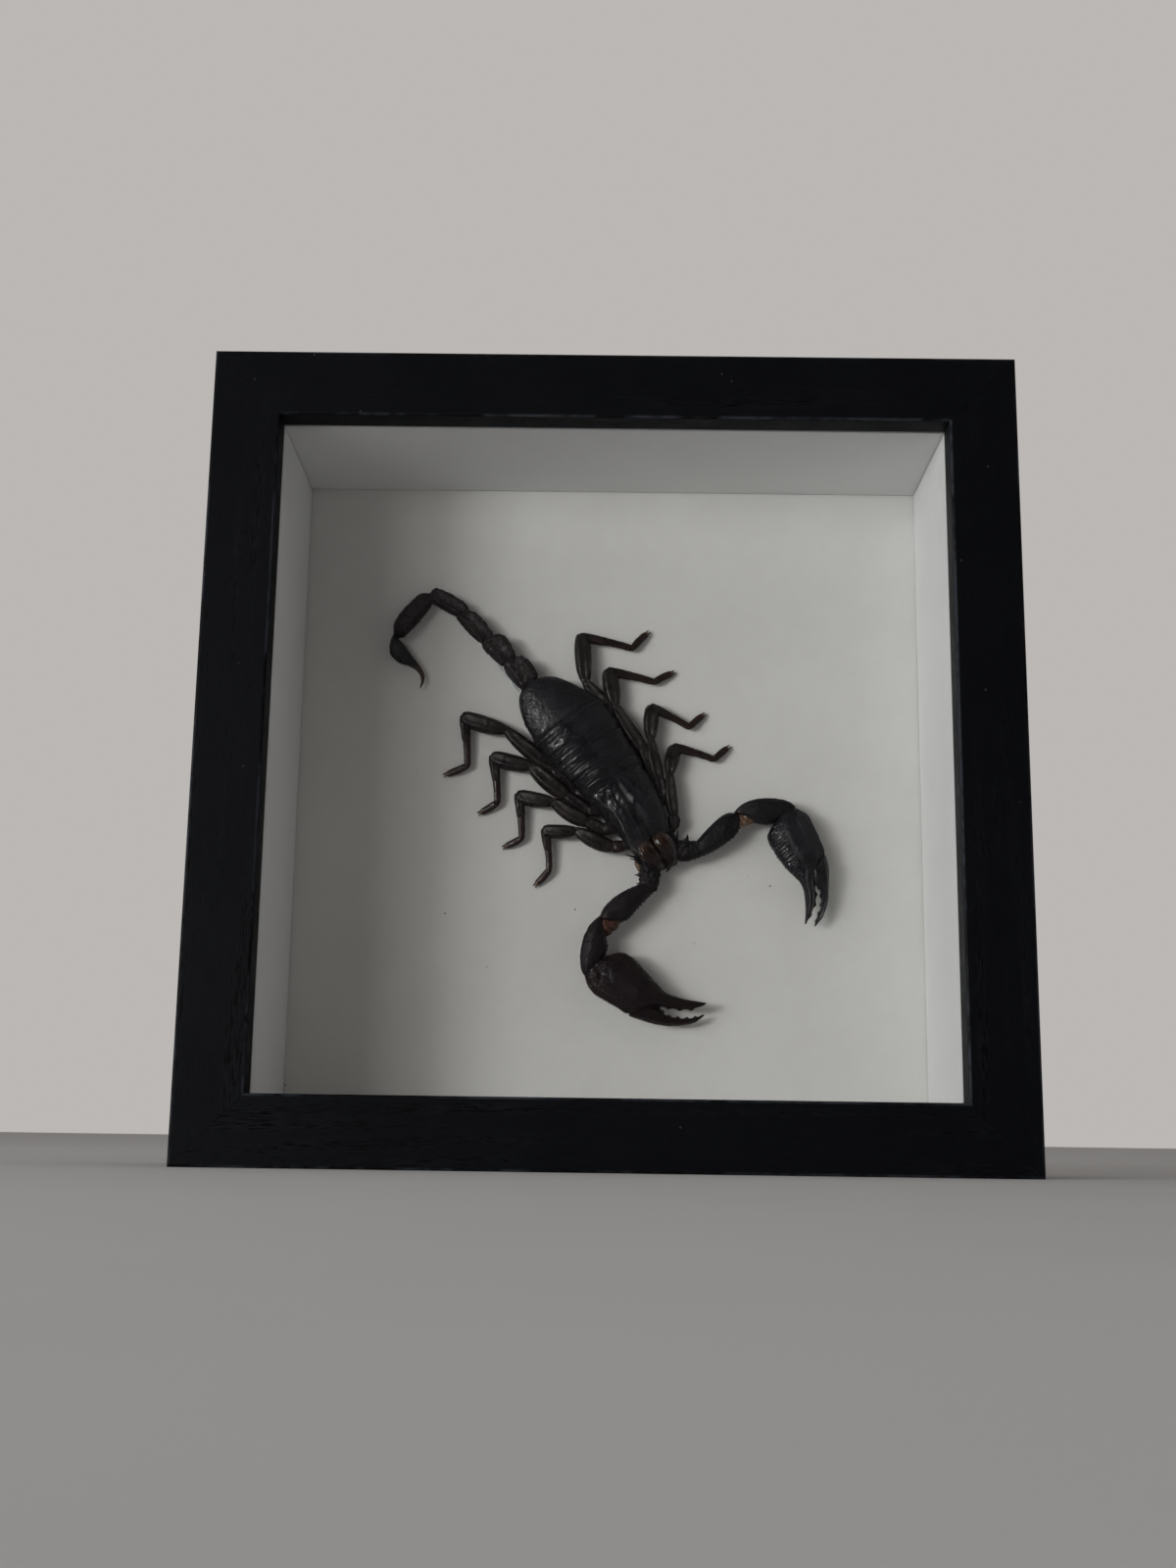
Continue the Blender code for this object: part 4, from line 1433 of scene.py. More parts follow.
    def tab(self, number: int) -> None:
        """Add a steel tab with a rounded tip and a pressed rib, half sunk in the rail.

        Args:
            number: which tab.
        """
        node = f"back_tab_{number}"
        low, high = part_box(node)
        centre = (low + high) / 2
        size = high - low
        upright = size.z > size.x
        length, width = (size.z, size.x) if upright else (size.x, size.z)
        middle = (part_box("rail_top")[1].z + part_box("rail_bottom")[0].z) / 2
        toward = -1.0 if (centre.z - middle if upright else centre.x) > 0.0 else 1.0
        rows, across, lap = self.tab_rows, self.tab_columns, self.tab_lap * MM
        verts = []
        for layer in (0, 1):
            for i in range(rows + 1):
                t = i / rows
                run = (t - 0.5) * length
                tip = math.sqrt(max(0.0, 1.0 - max(0.0, (t - 0.72) / 0.28) ** 2))
                wide = width / 2 * (0.35 + 0.65 * tip)
                for k in range(across + 1):
                    v = 2 * k / across - 1
                    rib = lap * math.exp(-(v / 0.25) ** 2) * math.exp(-((t - 0.6) / 0.16) ** 2)
                    y = (low.y + lap if layer == 0 else high.y - lap) + rib * 0.9
                    x, z = (v * wide, toward * run) if upright else (toward * run, v * wide)
                    verts.append((centre.x + x, y, centre.z + z))
        row = across + 1
        layer_size = row * (rows + 1)
        faces = []
        for base in (0, layer_size):
            faces += [(base + i * row + k, base + i * row + k + 1, base + (i + 1) * row + k + 1,
                       base + (i + 1) * row + k) for i in range(rows) for k in range(across)]
        rim = [*range(across + 1), *(i * row + across for i in range(1, rows + 1)),
               *(rows * row + k for k in range(across - 1, -1, -1)),
               *(i * row for i in range(rows - 1, 0, -1))]
        for a, b in zip(rim, rim[1:] + rim[:1]):
            faces.append((a, b, b + layer_size, a + layer_size))
        item = add_mesh(f"tab_{number}_steel", np.array(verts), faces, self.finishes.steel)
        item.data.set_sharp_from_angle(angle=SHARP_SHEET)
        settle(item, [node])

    def build(self) -> None:
        """Every piece of the box frame."""
        made = self.finishes
        for turns, side in enumerate(("bottom", "right", "top", "left")):
            self.rail(side, turns)
            self.board(f"liner_{side}_board", f"liner_{side}", made.lining,
                       self.board_edge)
        self.board("picture_glass", "glass_pane", made.glass, self.glass_edge)
        self.board("backing_card", "backing_board", made.paper, self.board_edge,
                   self.card_swell)
        self.board("rear_panel", "back_panel", made.back, self.panel_edge,
                   self.panel_swell)
        for number in range(1, TABS + 1):
            self.tab(number)


# Shapes of the specimen, in its own millimetres

# Body: edge of each back plate along the axis, then the outline as
# (along, right edge, left edge, top height)
PLATE_EDGES = (-27.0, -18.8, -15.0, -11.1, -7.6, -4.6, -1.3)
BODY_OUTLINE = (
    (-44.2, -3.6, 3.9, 8.2),
    (-43.0, -5.4, 6.3, 9.0),
    (-40.5, -7.2, 9.0, 9.8),
    (-35.5, -9.2, 12.0, 10.6),
    (-29.0, -10.2, 14.8, 11.2),
    (-22.0, -10.9, 15.6, 11.6),
    (-14.0, -10.2, 14.3, 11.8),
    (-4.0, -8.9, 13.0, 11.6),
    (4.4, -8.5, 12.2, 11.8),
    (10.0, -8.2, 11.4, 11.6),
    (16.2, -7.7, 9.8, 10.8),
    (20.5, -7.3, 8.2, 9.8),
    (23.6, -6.3, 6.6, 8.8),
)
BODY_WAIST = 5.0
BODY_FLOOR = 0.4
FRONT_NOTCH = 2.4
FRONT_NOTCH_WIDTH = 2.2
MOUTH_LOBES = (((19.0, 5.6), (19.0, -6.0), 3.0, 2.2), ((25.0, 4.4), (25.0, -5.6), 3.4, 2.0),
               ((29.5, 2.8), (29.5, -5.0), 3.2, 1.6), ((32.0, 0.6), (32.0, -3.4), 3.0, 1.1))

# Walking legs: joints from the body outwards as (along, left, height), and the half width of
# the trochanter, femur, patella, tibia and foot
LEGS = {
    "leg_left_1": (
        ((21.5, 6.0, 3.6), (23.1, 8.6, 4.2), (20.2, 10.7, 4.6), (8.3, 18.5, 4.4),
         (2.2, 25.5, 3.4), (13.3, 33.5, 2.4), (12.8, 40.1, 1.0)),
        (1.9, 2.0, 2.3, 1.55, 1.1)),
    "leg_left_2": (
        ((14.0, 8.5, 3.4), (12.6, 12.2, 4.2), (7.8, 14.3, 4.6), (-4.8, 20.8, 4.4),
         (-13.2, 27.9, 3.4), (-0.5, 33.8, 2.4), (-1.1, 40.6, 1.0)),
        (2.0, 2.1, 2.4, 1.6, 1.1)),
    "leg_left_3": (
        ((8.0, 9.5, 3.2), (5.8, 13.6, 4.0), (-3.6, 16.5, 4.6), (-21.2, 18.4, 4.4),
         (-31.8, 24.3, 3.4), (-20.0, 34.2, 2.4), (-18.9, 41.5, 1.0)),
        (2.0, 2.35, 2.7, 1.65, 1.15)),
    "leg_left_4": (
        ((0.0, 10.0, 2.8), (-8.4, 15.3, 3.4), (-19.8, 16.5, 4.0), (-33.8, 15.6, 4.4),
         (-47.0, 24.5, 3.4), (-33.8, 35.6, 2.4), (-35.2, 43.4, 1.0)),
        (1.9, 2.35, 2.7, 1.65, 1.15)),
    "leg_right_1": (
        ((18.5, -5.0, 3.6), (18.0, -8.6, 4.2), (16.0, -12.1, 4.6), (4.7, -17.7, 4.4),
         (-2.0, -25.9, 3.4), (9.0, -32.6, 2.4), (10.1, -39.1, 1.0)),
        (1.9, 2.5, 2.25, 1.5, 1.1)),
    "leg_right_2": (
        ((11.5, -5.0, 3.4), (9.7, -10.6, 4.2), (4.4, -13.2, 4.6), (-7.8, -17.9, 4.4),
         (-16.7, -25.7, 3.4), (-4.9, -33.5, 2.4), (-6.3, -39.5, 1.0)),
        (2.0, 2.6, 2.45, 1.55, 1.1)),
    "leg_right_3": (
        ((4.5, -5.5, 3.2), (1.5, -10.6, 4.0), (-7.1, -13.1, 4.6), (-21.9, -16.3, 4.4),
         (-32.2, -24.5, 3.4), (-19.4, -32.6, 2.4), (-20.4, -39.1, 1.0)),
        (2.0, 2.9, 2.7, 1.6, 1.15)),
    "leg_right_4": (
        ((-1.0, -6.5, 2.8), (-6.1, -9.6, 3.2), (-16.9, -11.0, 4.0), (-36.8, -15.4, 4.4),
         (-49.1, -24.0, 3.4), (-35.6, -32.9, 2.4), (-37.8, -40.3, 1.0)),
        (1.9, 2.6, 2.8, 1.6, 1.15)),
}

# Tail: the two edges of each ring of the five segments, and its centre height and half height
TAIL = (
    (((-43.6, 2.8), (-43.6, -2.2)), ((-46.0, 4.6), (-45.8, -3.5)), ((-52.5, 4.3), (-53.4, -3.2)),
     ((-54.5, 2.2), (-55.0, -2.2)), 5.6, 3.1),
    (((-54.4, 2.4), (-54.1, -2.3)), ((-56.7, 3.1), (-56.1, -3.6)), ((-62.7, 3.4), (-64.0, -4.4)),
     ((-64.9, 1.3), (-65.5, -3.2)), 5.4, 3.0),
    (((-64.6, 1.1), (-64.4, -3.3)), ((-67.4, 1.3), (-67.4, -4.6)), ((-75.0, 0.8), (-77.0, -5.2)),
     ((-77.2, -0.9), (-78.6, -4.1)), 5.1, 2.9),
    (((-76.1, -0.6), (-77.5, -4.5)), ((-79.7, 0.1), (-80.1, -5.8)), ((-87.9, -2.8), (-86.1, -7.9)),
     ((-91.1, -5.2), (-88.1, -9.0)), 4.8, 2.8),
    (((-90.5, -5.7), (-87.3, -8.4)), ((-92.5, -10.2), (-86.3, -12.0)),
     ((-90.7, -20.4), (-84.5, -20.0)), ((-87.9, -24.8), (-84.2, -24.2)), 4.2, 2.8),
)
STING = (
    ((-86.8, -25.8), (-83.6, -25.0), 3.9, 1.9),
    ((-85.6, -27.8), (-81.2, -24.7), 3.8, 2.6),
    ((-82.2, -30.4), (-78.8, -24.8), 3.7, 2.7),
    ((-78.0, -29.9), (-76.4, -24.9), 3.5, 2.2),
    ((-75.2, -28.0), (-74.4, -24.9), 3.2, 1.5),
    ((-72.4, -26.9), (-71.8, -25.0), 3.0, 0.95),
    ((-70.0, -26.9), (-69.3, -25.6), 2.8, 0.65),
    ((-68.3, -27.9), (-67.7, -27.1), 2.5, 0.4),
    ((-66.9, -29.5), (-66.6, -29.3), 2.2, 0.12),
)

# Pincer arms and pincers: each row has the outer edge, the inner edge, the centre height and
# the half thickness of one ring
ARM_LEFT = {
    "coxa": (((19.5, 7.4), (19.5, 3.2), 3.2, 2.0), ((29.6, 6.6), (29.6, 1.4), 4.2, 2.2)),
    "trochanter": (((27.6, 4.8), (30.2, 0.6), 5.0, 2.2), ((28.9, 8.0), (34.0, 3.4), 5.4, 3.1),
                   ((31.4, 10.6), (36.4, 8.2), 5.8, 2.6)),
    "femur": (((32.4, 9.6), (36.2, 8.8), 5.8, 2.0), ((31.3, 13.6), (37.4, 13.0), 5.9, 2.9),
              ((30.4, 20.0), (38.0, 19.4), 6.0, 3.1), ((30.5, 24.4), (37.4, 23.6), 6.0, 3.0),
              ((32.2, 27.0), (36.0, 26.2), 6.0, 2.2)),
    "membrane": (((32.6, 25.4), (36.6, 24.6), 6.0, 1.9), ((34.2, 30.4), (38.2, 29.6), 6.0, 1.9)),
    "patella": (((31.6, 27.2), (34.6, 28.2), 6.0, 2.2), ((31.7, 31.5), (38.4, 30.2), 6.1, 3.2),
                ((33.6, 36.3), (41.0, 32.4), 6.1, 3.5), ((37.6, 41.2), (42.4, 34.6), 6.0, 3.3),
                ((41.6, 43.6), (43.4, 37.6), 5.9, 2.9), ((44.6, 43.0), (45.4, 39.0), 5.8, 1.8)),
    "spikes": (((27.6, 6.0, 5.6), (24.3, 8.9, 6.6), 0.42),
               ((29.8, 8.2, 7.4), (28.2, 9.9, 8.2), 0.75),
               ((33.2, 10.0, 7.6), (31.4, 11.6, 8.2), 0.6),
               ((31.2, 6.4, 8.0), (30.0, 7.4, 9.2), 0.55)),
    "skin": (),
}
HAND_LEFT = (
    ((43.6, 44.2), (42.4, 35.4), 5.8, 2.6), ((47.6, 45.3), (44.8, 30.6), 5.7, 3.8),
    ((52.3, 44.4), (50.2, 29.1), 5.6, 4.2), ((58.0, 42.9), (56.6, 28.8), 5.5, 3.9),
    ((60.8, 41.3), (60.2, 29.3), 5.4, 3.4), ((64.5, 34.8), (63.6, 29.4), 5.2, 2.5),
    ((67.3, 32.6), (66.6, 28.4), 5.0, 2.0), ((70.6, 30.3), (69.7, 26.4), 4.8, 1.6),
    ((73.1, 26.7), (72.4, 24.3), 4.6, 1.1), ((74.9, 22.6), (74.6, 22.2), 4.4, 0.25),
)
FINGER_LEFT = (
    ((61.6, 41.4), (65.2, 35.2), 5.3, 2.2), ((65.6, 39.4), (67.0, 34.2), 5.2, 2.2),
    ((69.2, 36.4), (68.6, 33.2), 5.0, 1.8), ((72.4, 33.7), (71.6, 31.4), 4.8, 1.5),
    ((74.8, 30.8), (73.8, 29.2), 4.6, 1.2), ((76.5, 27.6), (75.4, 26.6), 4.4, 0.8),
    ((77.4, 24.5), (77.1, 24.2), 4.2, 0.25),
)
ARM_RIGHT = {
    "coxa": (((19.0, -7.4), (19.0, -3.4), 3.2, 2.0), ((28.4, -7.6), (28.4, -2.6), 4.2, 2.2)),
    "trochanter": (((26.4, -7.4), (29.6, -2.6), 5.0, 2.2), ((28.4, -10.2), (33.2, -5.4), 5.4, 3.1),
                   ((31.6, -12.2), (36.2, -8.8), 5.8, 2.6)),
    "femur": (((32.2, -10.6), (36.0, -9.6), 5.8, 2.0), ((31.0, -14.4), (36.5, -13.9), 6.1, 2.9),
              ((30.0, -20.0), (37.5, -19.4), 6.4, 3.2), ((30.3, -25.6), (37.9, -23.6), 6.6, 3.1),
              ((31.8, -29.2), (36.2, -27.4), 6.6, 2.3)),
    "membrane": (((32.4, -27.4), (37.4, -24.6), 6.4, 1.8), ((32.8, -29.4), (38.4, -27.8), 6.5, 2.3),
                 ((33.6, -32.6), (38.4, -32.0), 6.6, 1.7)),
    "patella": (((31.8, -29.4), (34.2, -30.0), 6.6, 2.2), ((32.5, -33.8), (38.0, -31.8), 6.8, 3.2),
                ((34.8, -38.4), (41.2, -33.6), 6.9, 3.5), ((38.6, -42.4), (43.0, -36.2), 6.9, 3.4),
                ((42.8, -44.8), (44.6, -39.4), 6.7, 2.9), ((46.4, -44.4), (47.2, -40.4), 6.7, 1.8)),
    "spikes": (((24.6, -7.2, 5.4), (20.8, -10.3, 5.8), 0.62),
               ((25.8, -7.4, 5.6), (22.6, -10.0, 6.2), 0.5),
               ((27.0, -7.6, 6.0), (24.6, -9.4, 6.8), 0.46),
               ((30.0, -10.4, 6.6), (28.0, -12.0, 7.2), 0.55),
               ((32.2, -11.8, 6.8), (30.4, -13.4, 7.2), 0.5),
               ((30.4, -7.6, 8.0), (29.4, -8.8, 9.2), 0.55)),
    "skin": (((23.6, -8.2), (23.6, -6.8), 4.2, 0.8), ((25.6, -9.8), (25.2, -7.2), 4.4, 1.2),
             ((27.6, -10.0), (27.6, -8.0), 4.4, 0.9)),
}
HAND_RIGHT = (
    ((44.8, -45.4), (43.0, -36.6), 6.8, 2.6), ((49.2, -46.4), (45.6, -31.0), 7.0, 3.8),
    ((53.4, -45.2), (50.4, -29.0), 7.1, 4.3), ((58.8, -43.0), (56.5, -28.5), 7.1, 4.0),
    ((62.4, -41.3), (61.0, -28.2), 7.0, 3.4), ((65.2, -34.6), (64.4, -27.7), 7.2, 2.6),
    ((67.8, -31.2), (67.0, -26.2), 7.2, 2.0), ((71.2, -28.0), (69.9, -24.1), 7.1, 1.6),
    ((74.0, -24.0), (72.7, -21.6), 7.0, 1.1), ((75.3, -19.7), (75.0, -19.4), 6.8, 0.25),
)
FINGER_RIGHT = (
    ((63.3, -41.2), (66.0, -35.0), 5.6, 2.2), ((67.6, -38.4), (68.0, -33.6), 5.5, 2.1),
    ((71.0, -35.7), (69.9, -32.2), 5.3, 1.8), ((73.8, -32.6), (72.6, -29.9), 5.1, 1.5),
    ((76.0, -29.2), (75.0, -27.2), 4.8, 1.2), ((77.6, -25.6), (76.5, -24.6), 4.5, 0.8),
    ((77.8, -22.3), (77.4, -22.0), 4.2, 0.25),
)
# Jaws: the middle and half width of each ring of the base, then the paths of the two fingers
CHELICERAE = {
    "left": (((22.0, 2.0, 7.2, 2.0), (24.6, 2.0, 7.6, 2.9), (28.0, 1.7, 7.4, 2.95),
              (31.0, 0.8, 6.8, 2.2), (33.2, -0.6, 6.0, 0.6)),
             (((30.2, 2.4, 6.6), (32.0, 2.2, 6.2), (33.2, 1.0, 5.8), (33.4, -0.3, 5.4)),
              ((30.4, 0.2, 6.8), (32.2, -0.6, 6.4), (33.3, -1.8, 6.0), (33.6, -3.2, 5.6)))),
    "right": (((21.0, -3.4, 7.0, 2.0), (23.6, -3.7, 7.4, 2.75), (27.0, -3.8, 7.2, 2.8),
               (29.8, -3.5, 6.6, 2.1), (31.8, -2.9, 6.0, 0.6)),
              (((28.6, -5.2, 6.8), (30.4, -5.6, 6.4), (31.4, -5.0, 6.0), (31.8, -4.0, 5.6)),
               ((29.0, -3.2, 6.8), (30.8, -3.0, 6.4), (31.8, -3.0, 6.0), (32.3, -3.5, 5.6)))),
}
GLUE_STRAND = ((-57.0, -3.9, 3.4), (-51.8, -3.7, 3.2), (-45.2, -3.9, 2.8))


# Specimen

@dataclass(frozen=True)
class Kit:
    """What every part of the specimen is made with."""

    backing: Backing
    finishes: Finishes
    growth: Growth

    def make(self, name: str, limb: Limb, material: bpy.types.Material,
             detail: Callable[[Skin], None] | None = None) -> bpy.types.Object:
        """A limb piece as an object.

        Args:
            name: the object's name.
            limb: its shape.
            material: its material.
            detail: adds more relief and marks to its skin.

        Returns:
            The object.
        """
        skin = limb.skin()
        if detail is not None:
            detail(skin)
        return skin.build(name, self.backing, material)

    def with_growth(self, name: str, host: bpy.types.Object, hair: float = 0.0, grain: float = 0.0,
                    thorn: float = 0.0, hair_length: float = 1.5, hair_radius: float = 0.035,
                    grain_size: float = 0.16, seed: int = 1) -> list[bpy.types.Object]:
        """A surface with the bristles, granules and thorns that its marks allow.

        Args:
            name: the start of the new objects' names.
            host: the surface.
            hair: bristles per square millimetre where the mark is 1.
            grain: granules per square millimetre.
            thorn: thorns per square millimetre.
            hair_length: the longest bristle, in millimetres.
            hair_radius: a bristle's radius at its root, in millimetres.
            grain_size: the largest granule's radius, in millimetres.
            seed: what the places are drawn from.

        Returns:
            The surface and what grew on it.
        """
        items = [host]
        growth, look = self.growth, self.finishes
        if hair:
            items.append(growth.bristles.grow(name + "_hair", host, look.hair, Density=hair * 1e6,
                                              Length=hair_length * MM, Radius=hair_radius * MM,
                                              Spread=0.55, Smallest=0.35, Seed=seed))
        if grain:
            items.append(growth.grains.grow(name + "_grain", host, look.shell, Density=grain * 1e6,
                                            Radius=grain_size * MM, Spread=0.0, Smallest=0.45,
                                            Seed=seed + 1))
        if thorn:
            items.append(growth.thorns.grow(name + "_thorn", host, look.shell, Density=thorn * 1e6,
                                            Length=1.35 * MM, Radius=0.46 * MM, Spread=0.45,
                                            Smallest=0.35, Seed=seed + 2))
        return items


@dataclass(frozen=True)
class BodyShell:
    """Carapace and seven back plates in one skin, with the soft folds along the sides."""

    kit: Kit
    rings: int = 290
    top_sides: int = 120
    low_sides: int = 36
    plate_slant: float = 0.075

    def slant(self, place: np.ndarray) -> np.ndarray:
        """How much the plates' edges lean at each place along the body."""
        return self.plate_slant * step(place, -42.0, -30.0) * (1.0 - step(place, -4.0, 6.0))

    def bare(self) -> tuple[Skin, np.ndarray, np.ndarray]:
        """The skin before its relief.

        Returns:
            The skin, the place of each ring along the body and the share of each side across it.
        """
        table = smooth_rows(np.array(BODY_OUTLINE), 400, lambda r: r[:, :1] * (1.0, 0.0, 0.0))
        table = table[np.argsort(table[:, 0])]
        place = np.linspace(BODY_OUTLINE[0][0], BODY_OUTLINE[-1][0], self.rings)
        right, left, top = (np.interp(place, table[:, 0], table[:, k])[:, None] for k in (1, 2, 3))
        flare = sum(hump(place, edge + 1.6, 1.5) for edge in PLATE_EDGES[:6]) * 0.45
        angle = np.concatenate((np.linspace(0.0, math.pi, self.top_sides, endpoint=False),
                                np.linspace(math.pi, 2 * math.pi, self.low_sides, endpoint=False)))
        c, s = np.cos(angle)[None, :], np.sin(angle)[None, :]
        across = np.sign(c) * np.abs(c) ** 0.85
        middle, half = (right + left) / 2, (left - right) / 2 + flare[:, None]
        crown = 1.0 - 0.10 * np.abs(across) ** 2
        high = np.maximum(s, 0.0) ** 0.72 * (top - BODY_WAIST) * crown
        low = np.maximum(-s, 0.0) ** 0.55 * (BODY_WAIST - BODY_FLOOR)
        y = middle + half * across
        z = BODY_WAIST + high - low
        x = np.broadcast_to(place[:, None], y.shape) + self.slant(place)[:, None] * y
        notch = FRONT_NOTCH * hump(y, 0.2, FRONT_NOTCH_WIDTH) * step(place, 17.5, 23.6)[:, None]
        x = x - notch
        return Skin(np.stack((x, y, z), -1), angle), place[:, None], across

    def plates(self, place: np.ndarray, skin: Skin) -> np.ndarray:
        """Height of the overlapping plates with their beaded rims.

        Args:
            place: the place of each ring.
            skin: the bare skin.

        Returns:
            The height at each point.
        """
        wobble = 0.35 * ripple(skin.points * (0.0, 1.0, 0.0), 5.0, 4.0)
        high = np.zeros(skin.points.shape[:2])
        for k, edge in enumerate(PLATE_EDGES):
            ahead = place - edge - wobble
            rise = 0.62 if k < 6 else 0.8
            fall = np.where(ahead > 0, rise * np.exp(-np.maximum(ahead, 0.0) / 1.9), 0.0)
            high += fall * step(ahead, 0.0, 0.3)
            high += 0.15 * hump(ahead, 0.42, 0.20) - 0.24 * hump(ahead, 0.92, 0.26)
            high -= 0.20 * hump(ahead, -0.22, 0.28)
        return high

    def flanks(self, place: np.ndarray, across: np.ndarray, skin: Skin) -> np.ndarray:
        """Height of the wrinkles and dimples on the plates.

        Args:
            place: the place of each ring.
            across: the share of each side.
            skin: the bare skin.

        Returns:
            The height at each point.
        """
        points = skin.points
        plate = step(place, -30.0, -26.0) * (1.0 - step(place, -3.0, -1.0))
        rear = 1.0 - step(place, -28.5, -26.5)
        right_side = step(-across, -0.05, 0.75)
        left_side = step(across, 0.35, 0.95)
        cross = ripple(points, (1.25, 4.6, 4.6), 2.0)
        along = ripple(points, (3.0, 1.3, 1.3), 7.0)
        high = plate * (0.24 * right_side + 0.03 + 0.08 * left_side) * np.maximum(cross, -0.3)
        high += plate * 0.08 * right_side * along
        high += rear * (0.09 * right_side + 0.04) * (domes(points, 1.3) - 0.45)
        high -= rear * right_side * 0.20 * domes(points, 3.4, 5.0)
        return high

    @staticmethod
    def ridge(points: np.ndarray, width: float) -> np.ndarray:
        """A bell over the long ridge on the shield's right.

        Args:
            points: the points.
            width: the bell's width, in millimetres.

        Returns:
            1 along the crest, falling to 0.
        """
        x, y = points[..., 0], points[..., 1]
        crest = np.interp(x, (-1.0, 7.5, 17.4, 23.0), (-6.7, -4.7, -6.0, -6.4))
        return hump(y, crest, width) * step(x, -1.0, 1.0)

    def carapace(self, place: np.ndarray, skin: Skin) -> np.ndarray:
        """Height of the head shield's furrow, ridges, eye hill and rays.

        Args:
            place: the place of each ring.
            skin: the bare skin.

        Returns:
            The height at each point.
        """
        x, y = skin.points[..., 0], skin.points[..., 1]
        shield = step(place, -1.0, 1.2)
        high = np.zeros(x.shape)
        centre = np.interp(x, (-1.0, 8.0, 14.0, 23.0), (1.6, 1.3, 0.9, 0.2))
        high -= 0.70 * hump(y, centre, 0.75) * (1.0 - 0.75 * hump(x, 9.2, 2.0)) * step(x, -1.0, 2.0)
        beat = 0.86 + 0.14 * np.cos(x * 3.9 + 1.6 * ripple(skin.points, 3.0, 2.0))
        high += 0.80 * beat * self.ridge(skin.points, 0.80) * (1.0 - step(x, 17.5, 20.0))
        high += 0.16 * ripple(skin.points, (3.4, 2.2, 2.2), 21.0) * step(-y, -1.0, 3.0)
        mirror = np.interp(x, (-1.0, 7.5, 17.4, 23.0), (9.6, 7.4, 7.6, 6.4))
        high += 0.34 * hump(y, mirror, 0.95) * (1.0 - step(x, 16.0, 20.0))
        for side in (-1.0, 1.0):
            brow = centre + side * np.interp(x, (6.0, 10.0, 18.0, 22.0), (1.7, 1.9, 2.6, 3.4))
            high += 0.34 * hump(y, brow, 0.5) * step(x, 6.0, 8.5) * (1.0 - step(x, 18.0, 20.5))
            high += 0.55 * hump(y, centre + side * 0.8, 0.55) * hump(x, 9.4, 0.75)
        around = np.arctan2(y - centre, x + 6.0)
        away = np.hypot(x + 6.0, y - centre)
        rays = np.cos(around * 17.0 + 1.4 * ripple(skin.points, 4.5, 1.0))
        ray_zone = ((1.0 - step(x, 6.0, 12.0)) * step(np.abs(y - centre), 1.5, 4.0)
                    * step(away, 5.0, 7.0))
        high += 0.22 * rays * ray_zone
        crumple = ripple(skin.points, (1.5, 1.0, 1.2), 14.0)
        high += 0.34 * (crumple * hump(x, 2.2, 4.2) * step(-y, -2.0, 2.0))
        net = ripple(skin.points, (1.6, 1.1, 1.4), 9.0)
        high += 0.12 * net * step(np.abs(y - centre), 2.5, 6.0)
        rim = step(x, 20.0, 23.0)
        return shield * high * (1.0 - 0.6 * rim)

    def build(self) -> None:
        """The body with its granules and few bristles."""
        skin, place, across = self.bare()
        upper = step(np.sin(skin.angle)[None, :], 0.02, 0.30)
        relief = self.plates(place, skin) + self.flanks(place, across, skin)
        relief = upper * (relief + self.carapace(place, skin))
        side = np.abs(across) ** 6
        fold = skin.near(-12.0, 16.0) + skin.near(192.0, 16.0)
        folded = fold * (1.0 - step(place, 2.0, 8.0))
        relief = relief + folded * (0.35 * ripple(skin.points, (2.2, 9.0, 0.7), 3.0) - 0.25)
        calm = 1.0 - 0.75 * self.ridge(skin.points, 1.5) * upper
        fine = 0.045 * ripple(skin.points, 0.8) + 0.03 * ripple(skin.points, 0.35, 11.0)
        relief = relief + calm * fine
        skin.raise_by(relief)
        rear = 1.0 - step(place, -29.0, -26.0)
        right_side = step(-across, -0.1, 0.6)
        crest = self.ridge(skin.points, 1.1)
        shield = step(place, 0.0, 3.0) * np.abs(across) ** 2
        skin.marks = {
            "rust": np.clip(folded * 0.9 + 0.10 * side, 0.0, 1.0),
            "pale": 0.16 * folded * (0.5 + 0.5 * ripple(skin.points, 2.5, 6.0)),
            "matt": rear * (0.12 + 0.10 * right_side),
            "gloss": upper * step(-across, -0.2, 0.5) * (1.0 - rear),
            "wet": upper * crest * (0.75 + 0.5 * ripple(skin.points, 1.1, 5.0)),
            "grainy": upper * np.clip(rear * (0.15 + 0.35 * right_side) + 0.22 * side
                                      + 0.16 * shield, 0.0, 1.0),
            "bristle": upper * np.clip(0.3 * rear + 0.5 * side, 0.0, 1.0),
        }
        host = skin.build("body_shell", self.kit.backing, self.kit.finishes.shell)
        lobes = Limb.slab(MOUTH_LOBES, rings=30, sides=36, grain=0.12)
        mouth = self.kit.make("mouth_lobes", lobes, self.kit.finishes.shell)
        parts = [mouth, *self.kit.with_growth("body", host, hair=0.10, grain=1.5, hair_length=1.1,
                                             grain_size=0.17, seed=4)]
        settle(join("body_shell", parts[::-1]), ["body"])


